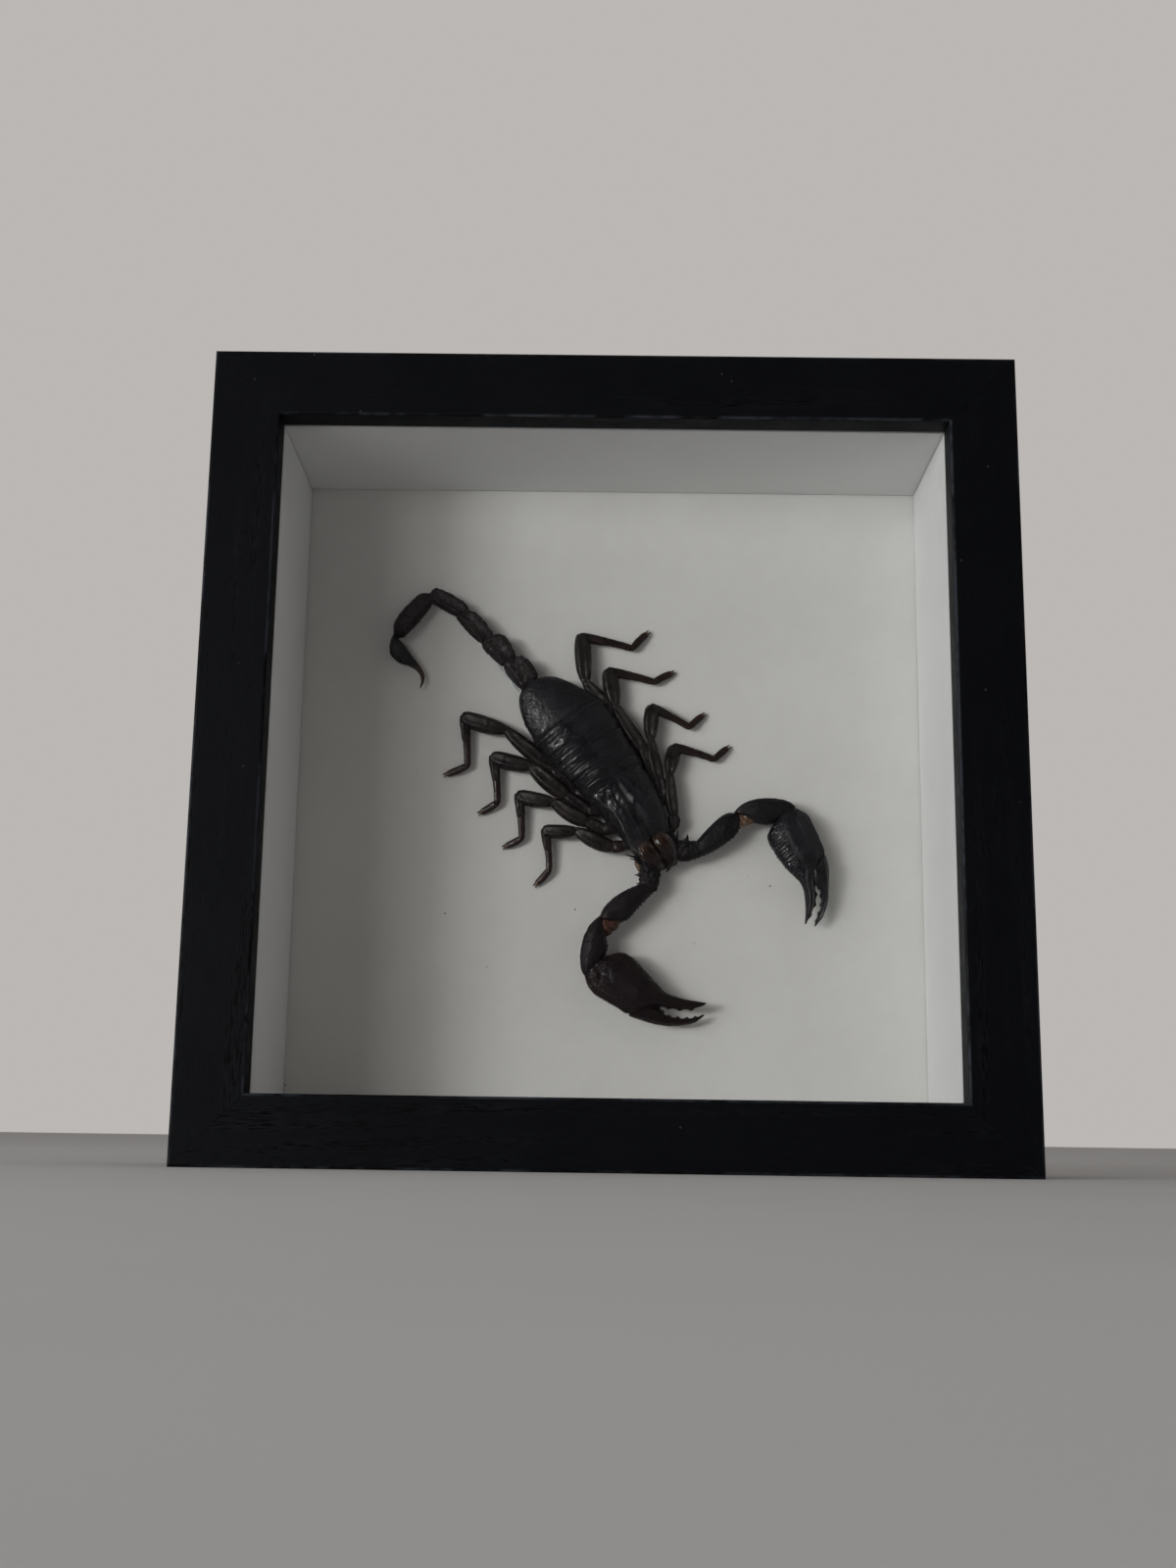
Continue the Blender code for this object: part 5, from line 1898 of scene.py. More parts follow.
@dataclass(frozen=True)
class TailPiece:
    """The five tail segments with beaded keels and flared rear ends."""

    kit: Kit
    swell: tuple[float, ...] = (0.58, 0.92, 1.0, 0.72)
    width: tuple[float, ...] = (0.78, 0.97, 1.05, 0.90)

    def segment(self, number: int) -> Limb:
        """The shape of one segment.

        Args:
            number: which segment, from 0 at the body.

        Returns:
            The shape.
        """
        *edges, height, half = TAIL[number]
        rows = []
        for (left, right), share, width in zip(edges, self.swell, self.width):
            a, b = np.array(left), np.array(right)
            middle = (a + b) / 2
            rows.append((tuple(middle + (a - middle) * width),
                         tuple(middle + (b - middle) * width), height, half * share))
        lines = keels(((54.0, 126.0), (0.30, 9.0, 0.0, 0.10, 0.95)),
                      ((54.0,), (0.14, 9.0, 1.1, 0.10, 0.95)),
                      ((126.0,), (0.14, 9.0, 1.2, 0.10, 0.95)),
                      ((16.0, 164.0), (0.26, 8.0, 0.0, 0.10, 0.97)),
                      ((-14.0, 194.0), (0.16, 8.0, 1.1, 0.10, 0.97)),
                      ((90.0,), (-0.45, 19.0, 0.0, 0.06, 0.90)))
        return Limb.slab(rows, rings=84, sides=72, squareness=0.92, keels=lines, grain=0.12,
                         grain_size=1.1, end_bulge=0.3)

    def detail(self, skin: Skin) -> None:
        """Serrate the rear rim, add coarse granules and redden the front.

        Args:
            skin: the skin that it changes.
        """
        share = skin.share
        rim = hump(share, 0.90, 0.035)
        teeth = 0.5 + 0.5 * np.cos(skin.angle * 15)[None, :]
        skin.raise_by(rim * (0.20 + 0.14 * teeth * (np.sin(skin.angle)[None, :] > -0.3)))
        rough = 0.12 * (domes(skin.points, 1.2, 2.0) - 0.35) + 0.16 * ripple(skin.points, 2.2, 8.0)
        skin.raise_by(rough * step(share, 0.06, 0.15))
        joint = 1.0 - step(share, 0.02, 0.10)
        skin.marks = {"rust": 0.35 + 0.5 * joint, "matt": 0.75,
                      "grainy": 0.25 * step(share, 0.1, 0.2),
                      "bristle": 0.6 * step(share, 0.2, 0.4)}

    def build(self) -> None:
        """The tail as one piece."""
        parts = []
        for number in range(len(TAIL)):
            name = f"tail_segment_{number + 1}"
            host = self.kit.make(name, self.segment(number), self.kit.finishes.shell, self.detail)
            parts += self.kit.with_growth(name, host, hair=0.12, grain=1.1, hair_length=1.6,
                                          grain_size=0.16, seed=20 + number)
        settle(join("tail_segments", parts), ["tail"])


@dataclass(frozen=True)
class StingPiece:
    """The smooth bulb with its curved point."""

    kit: Kit

    @staticmethod
    def detail(skin: Skin) -> None:
        """Fold the bulb a little and brown the point.

        Args:
            skin: the skin that it changes.
        """
        share = skin.share
        bulb = 1.0 - step(share, 0.45, 0.6)
        skin.raise_by(0.10 * bulb * ripple(skin.points, (2.5, 0.9, 0.9), 1.0))
        skin.marks = {"rust": 0.15 + 0.7 * step(share, 0.5, 0.75), "bristle": bulb,
                      "pale": 0.10 * step(share, 0.55, 0.7) * (1.0 - step(share, 0.85, 1.0))}

    def build(self) -> None:
        """The sting as one piece."""
        limb = Limb.slab(STING, rings=110, sides=56, squareness=0.95, grain=0.03,
                         keels=keels(((60.0, 120.0), (0.14, 12.0, 0.0, 0.05, 0.5))))
        host = self.kit.make("sting_bulb", limb, self.kit.finishes.shell, self.detail)
        parts = self.kit.with_growth("sting", host, hair=0.22, hair_length=1.8, seed=31)
        settle(join("sting_bulb", parts), ["sting"])


# Keels of the pincer arms: angles, then height, width, spacing of beads, start and end
FEMUR_KEELS = keels(((60.0,), (0.20, 9.0, 0.0, 0.06, 0.95)),
                    ((130.0,), (0.22, 9.0, 0.0, 0.06, 0.95)),
                    ((8.0,), (0.16, 9.0, 1.15, 0.06, 0.94)),
                    ((180.0,), (0.22, 14.0, 1.4, 0.06, 0.94)))
PATELLA_KEELS = keels(((18.0,), (0.30, 7.0, 0.0, 0.05, 0.97)),
                      ((46.0,), (0.34, 7.0, 0.0, 0.05, 0.92)),
                      ((32.0,), (-0.16, 8.0, 0.0, 0.06, 0.92)),
                      ((132.0,), (0.22, 9.0, 0.0, 0.08, 0.90)),
                      ((180.0,), (0.20, 12.0, 1.3, 0.10, 0.90)))
HAND_KEELS = keels(((62.0,), (0.34, 7.0, 0.0, 0.05, 0.95)),
                   ((96.0,), (0.26, 7.0, 0.0, 0.10, 0.92)),
                   ((128.0,), (0.24, 7.0, 0.0, 0.40, 0.95)),
                   ((22.0,), (0.34, 6.0, 0.0, 0.04, 0.60)),
                   ((40.0,), (0.20, 6.0, 0.0, 0.06, 0.55)),
                   ((180.0,), (0.12, 10.0, 1.0, 0.04, 0.60)))
FINGER_KEELS = keels(((60.0, 115.0), (0.22, 9.0, 0.0, 0.08, 0.95)),
                     ((88.0,), (-0.14, 10.0, 0.0, 0.1, 0.9)),
                     ((0.0,), (0.20, 12.0, 0.0, 0.05, 0.95)))


@dataclass(frozen=True)
class PincerArm:
    """Coxa, trochanter, femur, joint membrane and patella of one arm."""

    kit: Kit
    side: str
    table: dict
    redness: float

    @property
    def sign(self) -> float:
        """1 on the animal's left, -1 on its right."""
        return 1.0 if self.side == "left" else -1.0

    def rough(self, skin: Skin) -> None:
        """Make the trochanter knobbly.

        Args:
            skin: the skin that it changes.
        """
        knobs = 0.30 * (domes(skin.points, 1.3, 3.0) - 0.4)
        skin.raise_by(knobs + 0.34 * ripple(skin.points, 1.0, 2.0))
        top = step(np.sin(skin.angle), -0.2, 0.3)[None, :]
        skin.marks = {"rust": 0.15, "thorny": 0.8 * top, "bristle": 0.5 * top,
                      "grainy": 0.8 * top, "matt": 0.7}

    def boned(self, skin: Skin) -> None:
        """Add fine grain and leathery folds between the keels.

        Args:
            skin: the skin that it changes.
        """
        folds = ripple(skin.points, (1.0, 2.6, 1.4), 5.0)
        pit = hump(skin.share, 0.80, 0.10) * skin.near(120.0, 38.0)
        skin.raise_by(0.10 * np.maximum(folds, -0.2) + 0.05 * domes(skin.points, 0.8, 1.0)
                      - 0.45 * pit)
        edge = 0.12 * skin.near(0.0, 30.0) + 0.5 * skin.near(180.0, 30.0)
        ends = 1.0 - step(skin.share, 0.02, 0.12) * (1.0 - step(skin.share, 0.90, 0.98))
        skin.marks = {"rust": self.redness + 0.4 * ends, "grainy": edge, "bristle": edge,
                      "matt": 0.6}

    def folded(self, skin: Skin) -> None:
        """Add the deep ring folds of the membrane.

        Args:
            skin: the skin that it changes.
        """
        folds = np.cos(2 * math.pi * skin.travel / 1.3 + 3.0 * ripple(skin.points, 1.6))
        skin.raise_by(0.09 * folds + 0.30 * ripple(skin.points, (1.5, 1.1, 1.3), 5.0))
        patches = 0.5 + 0.5 * ripple(skin.points, 1.6, 3.0)
        skin.marks = {"rust": 3.3 * self.redness, "pale": (0.45 - 1.5 * self.redness) * patches}

    @staticmethod
    def creased(skin: Skin) -> None:
        """Pale crumpled skin."""
        skin.raise_by(0.22 * ripple(skin.points, (0.9, 0.9, 0.8), 2.0))
        skin.marks = {"pale": 0.30 + 0.30 * ripple(skin.points, 0.9, 3.0)}

    def saw(self, name: str, host: Skin, degrees: float, direction: Point, count: int,
            length: float, span: tuple[float, float] = (0.1, 0.9)) -> bpy.types.Object:
        """A row of spines along a piece.

        Args:
            name: the row's name.
            host: the skin of the piece.
            degrees: the angle of its section where the row runs.
            direction: the way that the spines point.
            count: how many there are.
            length: how long each is, in millimetres.
            span: the shares of the length between which it runs.

        Returns:
            The row as an object.
        """
        return self.kit.growth.saw_on(name, host.line(degrees, *span), direction, count,
                                      self.kit.finishes.shell, length=length)

    def build(self) -> None:
        """The arm as two pieces: its shell and its membrane."""
        look, name = self.kit.finishes, f"arm_{self.side}"
        coxa = Limb.slab(self.table["coxa"], rings=26, sides=32, grain=0.08)
        trochanter = Limb.slab(self.table["trochanter"], rings=48, sides=52, squareness=0.85,
                               grain=0.05)
        femur = Limb.slab(self.table["femur"], rings=80, sides=80, squareness=0.84,
                          keels=FEMUR_KEELS, grain=0.05, end_bulge=0.3)
        patella = Limb.slab(self.table["patella"], rings=96, sides=84, squareness=0.86,
                            keels=PATELLA_KEELS, grain=0.05, end_bulge=0.35)
        parts = [self.kit.make(name + "_coxa", coxa, look.arm, self.boned)]
        for number, (root, tip, radius) in enumerate(self.table["spikes"]):
            bend = tuple(0.5 * (a + b) + lift for a, b, lift in zip(root, tip, (0.1, 0.1, 0.3)))
            spike = Limb.tube((root, bend, tip), (radius, radius * 0.62, 0.05), 0.9, rings=20,
                              sides=12, grain=0.03)
            parts.append(self.kit.make(f"{name}_spike_{number}", spike, look.arm))
        knob = self.kit.make(name + "_trochanter", trochanter, look.arm, self.rough)
        parts += self.kit.with_growth(name + "_trochanter", knob, hair=0.5, grain=0.8, thorn=0.30,
                                      hair_length=1.4, grain_size=0.2, seed=41)
        for number, (piece, limb) in enumerate((("femur", femur), ("patella", patella))):
            host = self.kit.make(f"{name}_{piece}", limb, look.arm, self.boned)
            parts += self.kit.with_growth(f"{name}_{piece}", host, hair=0.16, grain=1.3,
                                          hair_length=1.5, grain_size=0.15, seed=50 + number)
        bone = femur.skin()
        inner = (1.0, 0.1 * self.sign, 0.35)
        outer = (-1.0, 0.1 * self.sign, 0.5)
        front = (0.75, -0.65 * self.sign, 0.1)
        parts.append(self.saw(name + "_femur_saw", bone, 166.0, inner, 12, 1.25))
        parts.append(self.saw(name + "_femur_low_saw", bone, 196.0, inner, 10, 1.0))
        parts.append(self.saw(name + "_femur_back", bone, 12.0, outer, 11, 0.32))
        parts.append(self.saw(name + "_patella_saw", patella.skin(), 176.0, front, 8, 0.7,
                              (0.2, 0.85)))
        settle(join(name + "_shell", parts), [f"pincer_arm_{self.side}"])
        sleeve = Limb.slab(self.table["membrane"], rings=40, sides=40, grain=0.06, end_bulge=0.5)
        skin_item = self.kit.make(name + "_membrane", sleeve, look.membrane, self.folded)
        if self.table["skin"]:
            fold = Limb.slab(self.table["skin"], rings=30, sides=30, grain=0.12)
            bare = self.kit.make(name + "_coxal_skin", fold, look.membrane, self.creased)
            skin_item = join(name + "_membrane", [skin_item, bare])
        settle(skin_item, [f"pincer_arm_{self.side}"])


@dataclass(frozen=True)
class Pincer:
    """One hand with its fixed finger, and the movable finger."""

    kit: Kit
    side: str
    hand: tuple[Row, ...]
    finger: tuple[Row, ...]
    knobs: float
    redness: float

    @property
    def root_reach(self) -> np.ndarray:
        """How far the root of the movable finger reaches under the hand."""
        return np.array((0.4, 2.4 if self.side == "left" else -2.4))

    def buried(self, ring: int, start: float, end: float) -> Row:
        """A ring of the movable finger's root inside the hand.

        Args:
            ring: the hand's ring that it lies in.
            start: share of the hand's width where it begins, from the outer edge.
            end: share of the hand's width where it ends.

        Returns:
            The ring.
        """
        outer, inner, height, thick = self.hand[ring]
        a, b = np.array(outer), np.array(inner)
        return tuple(a + (b - a) * start), tuple(a + (b - a) * end), height - 0.3, thick * 0.72

    def hand_detail(self, skin: Skin) -> None:
        """Add the net of granules at the inner edge, ridges, teeth and knobs.

        Args:
            skin: the skin that it changes.
        """
        share, points = skin.share, skin.points
        window = step(share, 0.04, 0.12) * (1.0 - step(share, 0.52, 0.66))
        strip = (step(-np.cos(skin.angle), 0.30, 0.62)
                 * step(np.sin(skin.angle), -0.35, 0.05))[None, :]
        ribs = np.cos(2 * math.pi * skin.travel / 1.05 + 2.6 * ripple(points, 2.2, 4.0))
        net = 0.20 * ribs * (0.6 + 0.6 * ripple(points, 1.5, 9.0)) + 0.10 * domes(points, 0.9, 4.0)
        relief = window * strip * net
        outer = step(np.cos(skin.angle), 0.05, 0.6)[None, :] * (1.0 - step(share, 0.42, 0.58))
        relief = relief + 0.6 * self.knobs * outer * (domes(points, 1.0, 8.0) - 0.25)
        relief = relief + 0.05 * window * ripple(points, (2.4, 2.4, 2.4), 3.0)
        palm = 1.0 - step(share, 0.5, 0.62)
        relief = relief + 0.05 * palm * ripple(points, (2.4, 0.7, 0.9), 6.0)
        bite = step(share, 0.66, 0.72) * (1 - step(share, 0.9, 1))
        relief = relief + self.teeth(skin, (0.42, 3.3), (0.04, 0.9)) * skin.near(2.0, 18.0) * bite
        base = hump(share, 0.10, 0.13) * step(np.sin(skin.angle), 0.1, 0.6)[None, :]
        relief = relief + self.knobs * 1.5 * base * domes(points, 1.2, 2.0)
        skin.raise_by(relief)
        skin.marks = {"rust": self.redness + 0.3 * step(share, 0.6, 1.0),
                      "grainy": strip * window * 0.3 + outer * self.knobs * 1.5,
                      "bristle": 0.25 + 0.9 * step(share, 0.6, 0.8),
                      "gloss": strip * window + 3.0 * self.knobs * base,
                      "matt": 0.35 * (1.0 - base)}

    @staticmethod
    def teeth(skin: Skin, *waves: Pair) -> np.ndarray:
        """Waves along a finger, each with its height and the distance between its tops."""
        return sum(height * np.cos(2 * math.pi * skin.travel / apart) for height, apart in waves)

    def finger_detail(self, skin: Skin) -> None:
        """Add teeth along the biting edge.

        Args:
            skin: the skin that it changes.
        """
        share = skin.share
        bite = step(share, 0.30, 0.4) * (1 - step(share, 0.9, 1))
        relief = self.teeth(skin, (0.38, 3.1), (0.04, 0.85)) * skin.near(178.0, 20.0) * bite
        skin.raise_by(relief + 0.04 * ripple(skin.points, (1.0, 1.0, 1.0), 1.0))
        skin.marks = {"rust": 1.2 * self.redness + 0.05, "bristle": 0.9}

    def build(self) -> None:
        """The hand and the movable finger."""
        look, name = self.kit.finishes, f"hand_{self.side}"
        limb = Limb.slab(self.hand, rings=190, sides=112, squareness=0.88, keels=HAND_KEELS,
                         grain=0.05, grain_size=0.7, end_bulge=0.35)
        shell = look.arm if self.side == "right" else look.shell
        host = self.kit.make(name + "_shell", limb, shell, self.hand_detail)
        parts = self.kit.with_growth(name, host, hair=0.13, grain=1.5, hair_length=1.7,
                                     grain_size=0.17, seed=61)
        settle(join(name + "_shell", parts), [f"pincer_hand_{self.side}"])
        rows = [self.buried(3, 0.06, 0.42), self.buried(4, 0.02, 0.60)]
        rows += [(outer, tuple(np.array(inner) - self.root_reach * fill), height + lift,
                  thick + 0.5 * lift)
                 for (outer, inner, height, thick), (fill, lift) in
                 zip(self.finger, ((1.0, 0.6), (0.7, 0.45), (0.1, 0.2), *[(0.0, 0.0)] * 4))]
        mover = Limb.slab(rows, rings=120, sides=60, squareness=0.88, keels=FINGER_KEELS,
                          grain=0.04, end_bulge=0.12)
        host = self.kit.make(f"finger_{self.side}_shell", mover, shell, self.finger_detail)
        parts = self.kit.with_growth(f"finger_{self.side}", host, hair=0.3, hair_length=1.3,
                                     seed=71)
        settle(join(f"finger_{self.side}_shell", parts),
               [f"pincer_finger_{self.side}"])


@dataclass(frozen=True)
class Chelicera:
    """One of the two small jaws: a glossy brown base with dark curved fingers and bristles."""

    kit: Kit
    side: str
    path: tuple[tuple[float, float, float, float], ...]
    fingers: tuple[tuple[Point, ...], ...]

    @staticmethod
    def base_detail(skin: Skin) -> None:
        """Add low waves, stripes, dark ends and bristles.

        Args:
            skin: the skin that it changes.
        """
        share = skin.share
        skin.raise_by(0.10 * ripple(skin.points, (1.6, 0.9, 1.0), 2.0))
        stripes = (0.5 + 0.5 * np.cos(skin.angle * 9.0))[None, :]
        skin.marks = {"rust": step(share, 0.26, 0.50) + 0.65 * stripes,
                      "pale": 0.09 * hump(share, 0.22, 0.16) * (1.0 - stripes),
                      "bristle": step(share, 0.30, 0.6), "gloss": 0.6}

    @staticmethod
    def finger_detail(skin: Skin) -> None:
        """Redden it throughout and add a few teeth inside.

        Args:
            skin: the skin that it changes.
        """
        teeth = np.maximum(0.0, np.cos(2 * math.pi * skin.travel / 0.9))
        skin.raise_by(0.12 * teeth * skin.near(180.0, 30.0))
        skin.marks = {"rust": 1.0}

    def build(self) -> None:
        """The jaw as one piece."""
        look, name = self.kit.finishes, f"jaw_{self.side}"
        path = [row[:3] for row in self.path]
        lines = keels(((150.0,), (0.16, 9.0)), ((112.0, 70.0), (0.12, 7.0)), ((30.0,), (0.16, 9.0)))
        base = Limb.tube(path, [row[3] for row in self.path], 0.8, rings=60, sides=60, keels=lines,
                         grain=0.03, end_bulge=0.25, squareness=0.8)
        host = self.kit.make(name, base, look.jaw, self.base_detail)
        parts = self.kit.with_growth(name, host, hair=1.3, hair_length=2.8, hair_radius=0.06,
                                     seed=81)
        for number, line in enumerate(self.fingers):
            claw = Limb.tube(line, (1.05, 0.85, 0.5, 0.1), 0.85, rings=40, sides=24, grain=0.0)
            parts.append(self.kit.make(f"{name}_finger_{number}", claw, look.jaw,
                                       self.finger_detail))
        settle(join(name + "_shell", parts), [f"chelicera_{self.side}"])


@dataclass(frozen=True)
class WalkingLeg:
    """One walking leg: coxa, trochanter, femur, patella, tibia, foot and two claws."""

    kit: Kit
    name: str
    joints: tuple[Point, ...]
    widths: tuple[float, ...]
    flatness: float = 0.78
    spindle: tuple[Pair, ...] = ((-0.04, 0.60), (0.07, 0.86), (0.30, 1.04), (0.58, 1.02),
                                 (0.85, 0.82), (1.0, 0.56))
    stub: tuple[Pair, ...] = ((-0.10, 0.80), (0.25, 0.98), (0.65, 1.04), (1.0, 0.84))
    blade: tuple[Pair, ...] = ((-0.03, 0.44), (0.06, 0.64), (0.28, 0.92), (0.60, 1.03),
                               (0.90, 0.96), (1.04, 0.74))
    shank: tuple[Pair, ...] = ((-0.05, 0.86), (0.06, 1.04), (0.30, 0.98), (0.50, 0.82))
    shin: tuple[Pair, ...] = ((0.47, 0.62), (0.53, 0.78), (0.75, 0.74), (0.96, 0.68), (1.02, 0.48))
    foot: tuple[Pair, ...] = ((-0.06, 0.66), (0.10, 0.98), (0.5, 1.08), (0.82, 0.98), (0.97, 0.70))
    hook: tuple[Point, ...] = ((-0.5, 0.25, 0.05), (0.15, 0.42, 0.25), (0.7, 0.50, 0.05),
                               (1.05, 0.42, -0.4))

    def piece(self, start: int, width: float, profile: Sequence[Pair], rings: int, sides: int,
              bow: float = 0.0, keels: tuple[Keel, ...] = (), grain: float = 0.05) -> Limb:
        """One piece between two joints.

        Args:
            start: number of the joint where it begins.
            width: its greatest half width.
            profile: shares of its length with shares of its width.
            rings: rings of its skin.
            sides: sides of its skin.
            bow: how far its middle bends sideways.
            keels: its raised lines.
            grain: height of its fine waves.

        Returns:
            The shape.
        """
        a, b = (np.array(self.joints[start + k]) for k in (0, 1))
        run = (b - a) / np.linalg.norm(b - a)
        side = sideways(run)
        path = [a + (b - a) * t + side * bow * math.sin(math.pi * min(max(t, 0.0), 1.0))
                for t, _ in profile]
        return Limb.tube(path, [width * share for _, share in profile], self.flatness,
                         rings=rings, sides=sides, keels=keels, grain=grain, end_bulge=0.35,
                         squareness=0.86)

    @staticmethod
    def marked(rust: float, hair: float, tip: float = 0.0,
               pale: float = 0.0) -> Callable[[Skin], None]:
        """A detail that reddens a piece and lets bristles grow.

        Args:
            rust: how red it is.
            hair: how many bristles it has.
            tip: how much redder its end is.
            pale: how pale its end is.

        Returns:
            The detail.
        """
        def detail(skin: Skin) -> None:
            """Set the marks and a few folds.

            Args:
                skin: the skin that it changes.
            """
            share = skin.share
            skin.raise_by(0.05 * ripple(skin.points, (1.4, 1.4, 0.8), 4.0))
            skin.marks = {"rust": rust + tip * share, "pale": pale * step(share, 0.84, 0.98),
                          "bristle": hair}
        return detail

    def condyles(self) -> list[bpy.types.Object]:
        """The two glossy knobs of each wide joint.

        Returns:
            The knobs.
        """
        items = []
        for number in (2, 3):
            joint = np.array(self.joints[number])
            run = np.array(self.joints[number + 1]) - np.array(self.joints[number - 1])
            run /= np.linalg.norm(run)
            side = np.cross((0.0, 0.0, 1.0), run)
            for place in (-1.0, 1.0):
                at = joint + side * place * self.widths[number - 1] * 0.36 + (0.0, 0.0, 0.70)
                knob = Limb.tube((at - run * 0.6, at, at + run * 0.6), (0.34, 0.48, 0.34), 0.9,
                                 rings=14, sides=14, grain=0.0)
                items.append(self.kit.make(f"{self.name}_knob_{len(items)}", knob,
                                           self.kit.finishes.leg, self.polished))
        return items

    @staticmethod
    def polished(skin: Skin) -> None:
        """Glossy and a little red."""
        skin.marks = {"rust": 0.15, "gloss": 1.0}

    def claws(self) -> list[bpy.types.Object]:
        """The two hooked claws of the foot.

        Returns:
            The claws.
        """
        heel, toe = np.array(self.joints[5]), np.array(self.joints[6])
        run = (toe - heel) / np.linalg.norm(toe - heel)
        side = sideways(run)
        items = []
        for spread in (-1.0, 1.0):
            path = [toe + run * ahead + side * spread * out + np.array((0.0, 0.0, up))
                    for ahead, out, up in self.hook]
            claw = Limb.tube(path, (0.34, 0.27, 0.18, 0.05), 0.9, rings=20, sides=12, grain=0.0)
            items.append(self.kit.make(f"{self.name}_claw_{len(items)}", claw,
                                       self.kit.finishes.leg, self.marked(0.6, 0.0)))
        return items

    def build(self) -> None:
        """The leg as one piece."""
        look = self.kit.finishes
        trochanter, femur, patella, tibia, foot = self.widths
        lines = keels(((60.0,), (0.24, 10.0, 0.0, 0.08, 0.94)),
                      ((120.0,), (0.22, 10.0, 0.0, 0.08, 0.94)),
                      ((90.0,), (-0.16, 14.0, 0.0, 0.1, 0.9)),
                      ((0.0, 180.0), (0.16, 12.0, 0.8, 0.06, 0.94)))
        red = 0.45 if self.name.endswith("right_1") else 0.1
        pieces = (
            ("coxa", (0, trochanter * 1.10, self.stub, 24, 24, 0.0, (), 0.12), (0.15, 0.1), 0.4),
            ("trochanter", (1, trochanter * 1.02, self.stub, 36, 32, 0.0, lines, 0.14),
             (red, 0.3), 0.4),
            ("femur", (2, femur, self.spindle, 56, 40, 0.35, lines), (0.15, 0.15), 0.4),
            ("patella", (3, patella, self.blade, 56, 40, 0.25, lines), (0.12, 0.15), 0.4),
            ("tibia", (4, tibia, self.shank, 44, 28, 0.25, lines[:2]), (0.2, 0.7, 0.2), 0.75),
            ("shin", (4, tibia, self.shin, 44, 28, 0.35), (0.35, 0.9, 0.3), 0.75),
            ("foot", (5, foot, self.foot, 40, 24, 0.15), (0.40, 1.0, 0.4, 0.7), 0.75),
        )
        parts = []
        for number, (piece, shape, marks, hair) in enumerate(pieces):
            host = self.kit.make(f"{self.name}_{piece}", self.piece(*shape), look.leg,
                                 self.marked(*marks))
            parts += self.kit.with_growth(f"{self.name}_{piece}", host, hair=hair, hair_length=1.3,
                                          seed=90 + number)
        parts += self.condyles() + self.claws()
        settle(join(f"{self.name}_shell", parts), [self.name])


@dataclass(frozen=True)
class GlueStrandPiece:
    """The strand of dried glue beside the root of the tail."""

    kit: Kit
    radius: float = 0.29

    def build(self) -> None:
        """The strand with soft knots."""
        path = smooth_rows(np.array(GLUE_STRAND), 9, lambda r: r)
        widths = [self.radius * (1.0 + 0.25 * math.sin(2.3 * k)) for k in range(len(path))]
        limb = Limb.tube(path, widths, 0.9, rings=70, sides=20, grain=0.03, grain_size=0.6)
        item = self.kit.make("glue_thread", limb, self.kit.finishes.glue)
        settle(item, ["glue_strand"])


@dataclass(frozen=True)
class Specimen:
    """The whole animal, glued flat on its backing."""

    kit: Kit

    def build(self) -> None:
        """Every part from body to sting."""
        kit = self.kit
        BodyShell(kit).build()
        TailPiece(kit).build()
        StingPiece(kit).build()
        PincerArm(kit, "left", ARM_LEFT, 0.05).build()
        PincerArm(kit, "right", ARM_RIGHT, 0.30).build()
        Pincer(kit, "left", HAND_LEFT, FINGER_LEFT, 0.06, 0.0).build()
        Pincer(kit, "right", HAND_RIGHT, FINGER_RIGHT, 0.20, 0.50).build()
        for side, (path, fingers) in CHELICERAE.items():
            Chelicera(kit, side, path, fingers).build()
        for name, (joints, widths) in LEGS.items():
            WalkingLeg(kit, name, joints, widths).build()
        GlueStrandPiece(kit).build()


# Studio

@dataclass(frozen=True)
class Lamp:
    """A soft rectangular lamp on the viewer's left."""

    name: str
    power: float
    wide: float
    tall: float
    turn: float
    far: float
    height: float

    def place(self, target: Vector) -> None:
        """Set the lamp up.

        Args:
            target: the point that it is aimed at.
        """
        lamp = bpy.data.lights.new(self.name, "AREA")
        lamp.shape = "RECTANGLE"
        lamp.size = self.wide
        lamp.size_y = self.tall
        lamp.energy = self.power
        lamp.color = (1.0, 1.0, 0.985)
        item = bpy.data.objects.new(self.name, lamp)
        turn = math.radians(self.turn)
        item.location = (target.x - self.far * math.sin(turn), target.y - self.far * math.cos(turn),
                         self.height)
        item.rotation_euler = (target - item.location).to_track_quat("-Z", "Y").to_euler()
        bpy.context.scene.collection.objects.link(item)


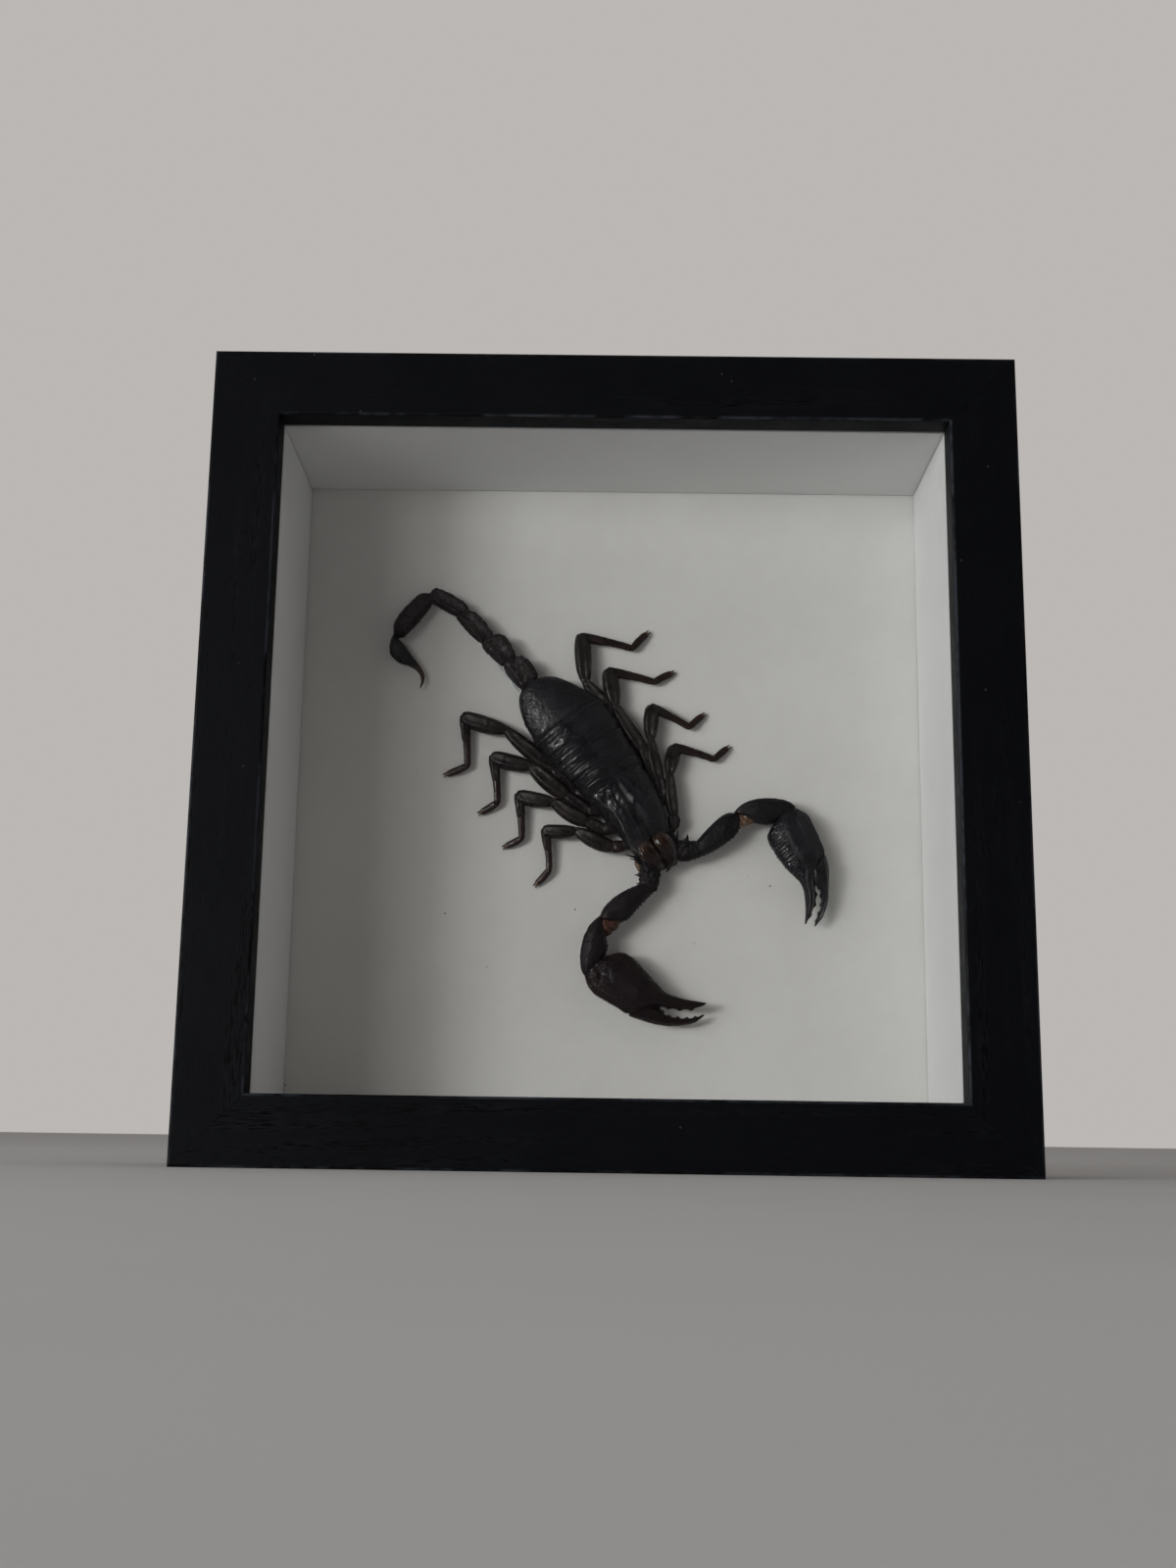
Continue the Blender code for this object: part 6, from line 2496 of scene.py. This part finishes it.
@dataclass(frozen=True)
class Studio:
    """Pale floor, soft light from the viewer's left, and the camera at the photo's angle."""

    floor_half: float = 12.0
    lamps: tuple[Lamp, ...] = (Lamp("key", 5.6, 0.40, 0.22, 43.0, 1.7, 0.13),
                               Lamp("broad", 8.2, 1.2, 0.44, 45.0, 1.5, 0.25))
    ambient: float = 0.21
    dark_share: float = 0.06
    bright_share: float = 1.35
    backdrop: float = 0.50
    camera_at: Point = (-0.00227, -0.54076, 0.00947)
    camera_right: Point = (0.99989, 0.00551, 0.01393)
    camera_up: Point = (-0.01255, -0.20069, 0.97957)
    camera_ahead: Point = (-0.00819, 0.97964, 0.2006)
    lens: float = 39.796

    def floor(self, material: bpy.types.Material) -> None:
        """A flat floor under the object.

        Args:
            material: its material.
        """
        h = self.floor_half
        verts = np.array([(-h, -h, 0.0), (h, -h, 0.0), (h, h, 0.0), (-h, h, 0.0)])
        item = add_mesh("studio_floor", verts, [(0, 1, 2, 3)], material, smooth=False)
        item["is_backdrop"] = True

    def light(self, target: Vector) -> None:
        """Set up the lamps, and a surround that is darker where the pane mirrors it.

        Args:
            target: the point that the lamps are aimed at.
        """
        for lamp in self.lamps:
            lamp.place(target)
        world = bpy.data.worlds.new("surround")
        world.use_nodes = True
        tree = Tree(world.node_tree)
        back = world.node_tree.nodes["Background"]
        back.inputs["Color"].default_value = (1.0, 0.955, 0.92, 1.0)
        where = tree.add("ShaderNodeTexCoord").outputs["Generated"]
        away = tree.add("ShaderNodeSeparateXYZ", {0: where})
        strength = tree.fit(away.outputs["Y"], -0.86, -0.74, self.ambient * self.dark_share,
                            self.ambient * self.bright_share)
        seen = tree.add("ShaderNodeLightPath").outputs["Is Camera Ray"]
        plain = tree.maths("MULTIPLY", seen, self.backdrop)
        tree.feed(back.inputs["Strength"], tree.maths("MAXIMUM", strength, plain))
        bpy.context.scene.world = world

    def camera(self) -> None:
        """The camera where the photo was taken from."""
        data = bpy.data.cameras.new("view")
        data.lens = self.lens
        data.sensor_width = 36.0
        data.clip_start = 0.01
        item = bpy.data.objects.new("view", data)
        columns = (self.camera_right, self.camera_up, tuple(-v for v in self.camera_ahead))
        turn = Matrix(columns).transposed().to_4x4()
        item.matrix_world = Matrix.Translation(self.camera_at) @ turn
        bpy.context.scene.collection.objects.link(item)
        bpy.context.scene.camera = item

    def build(self, finishes: Finishes, target: Vector) -> None:
        """Set up floor, light and camera.

        Args:
            finishes: the finishes.
            target: the point that the light is aimed at.
        """
        self.floor(finishes.floor)
        self.light(target)
        self.camera()
        bpy.context.scene.view_settings.view_transform = "Standard"


def as_lists(bounds: object) -> object:
    """Turn a nest of vectors into plain lists, ready to be written down.

    Args:
        bounds: the nest.

    Returns:
        The lists.
    """
    if isinstance(bounds, dict):
        return {key: as_lists(value) for key, value in bounds.items()}
    if isinstance(bounds, (list, tuple, Vector)):
        return [as_lists(value) for value in bounds]
    return bounds


def main() -> None:
    """Build and dress the object, then its stage."""
    finishes = Finishes()
    box_frame = BoxFrame(finishes)
    box_frame.build()
    backing = Backing.from_frame()
    Specimen(Kit(backing, finishes, Growth(backing))).build()
    Studio().build(finishes, Vector((0.0, backing.front, backing.up)))
    LOG.info("dressed %d solids", len(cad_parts))


if __name__ == "__main__":
    logging.basicConfig(level=logging.INFO, format="%(name)s %(message)s")
    main()
    {"solids": as_lists(solid_bounds), "dressed": as_lists(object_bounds())}
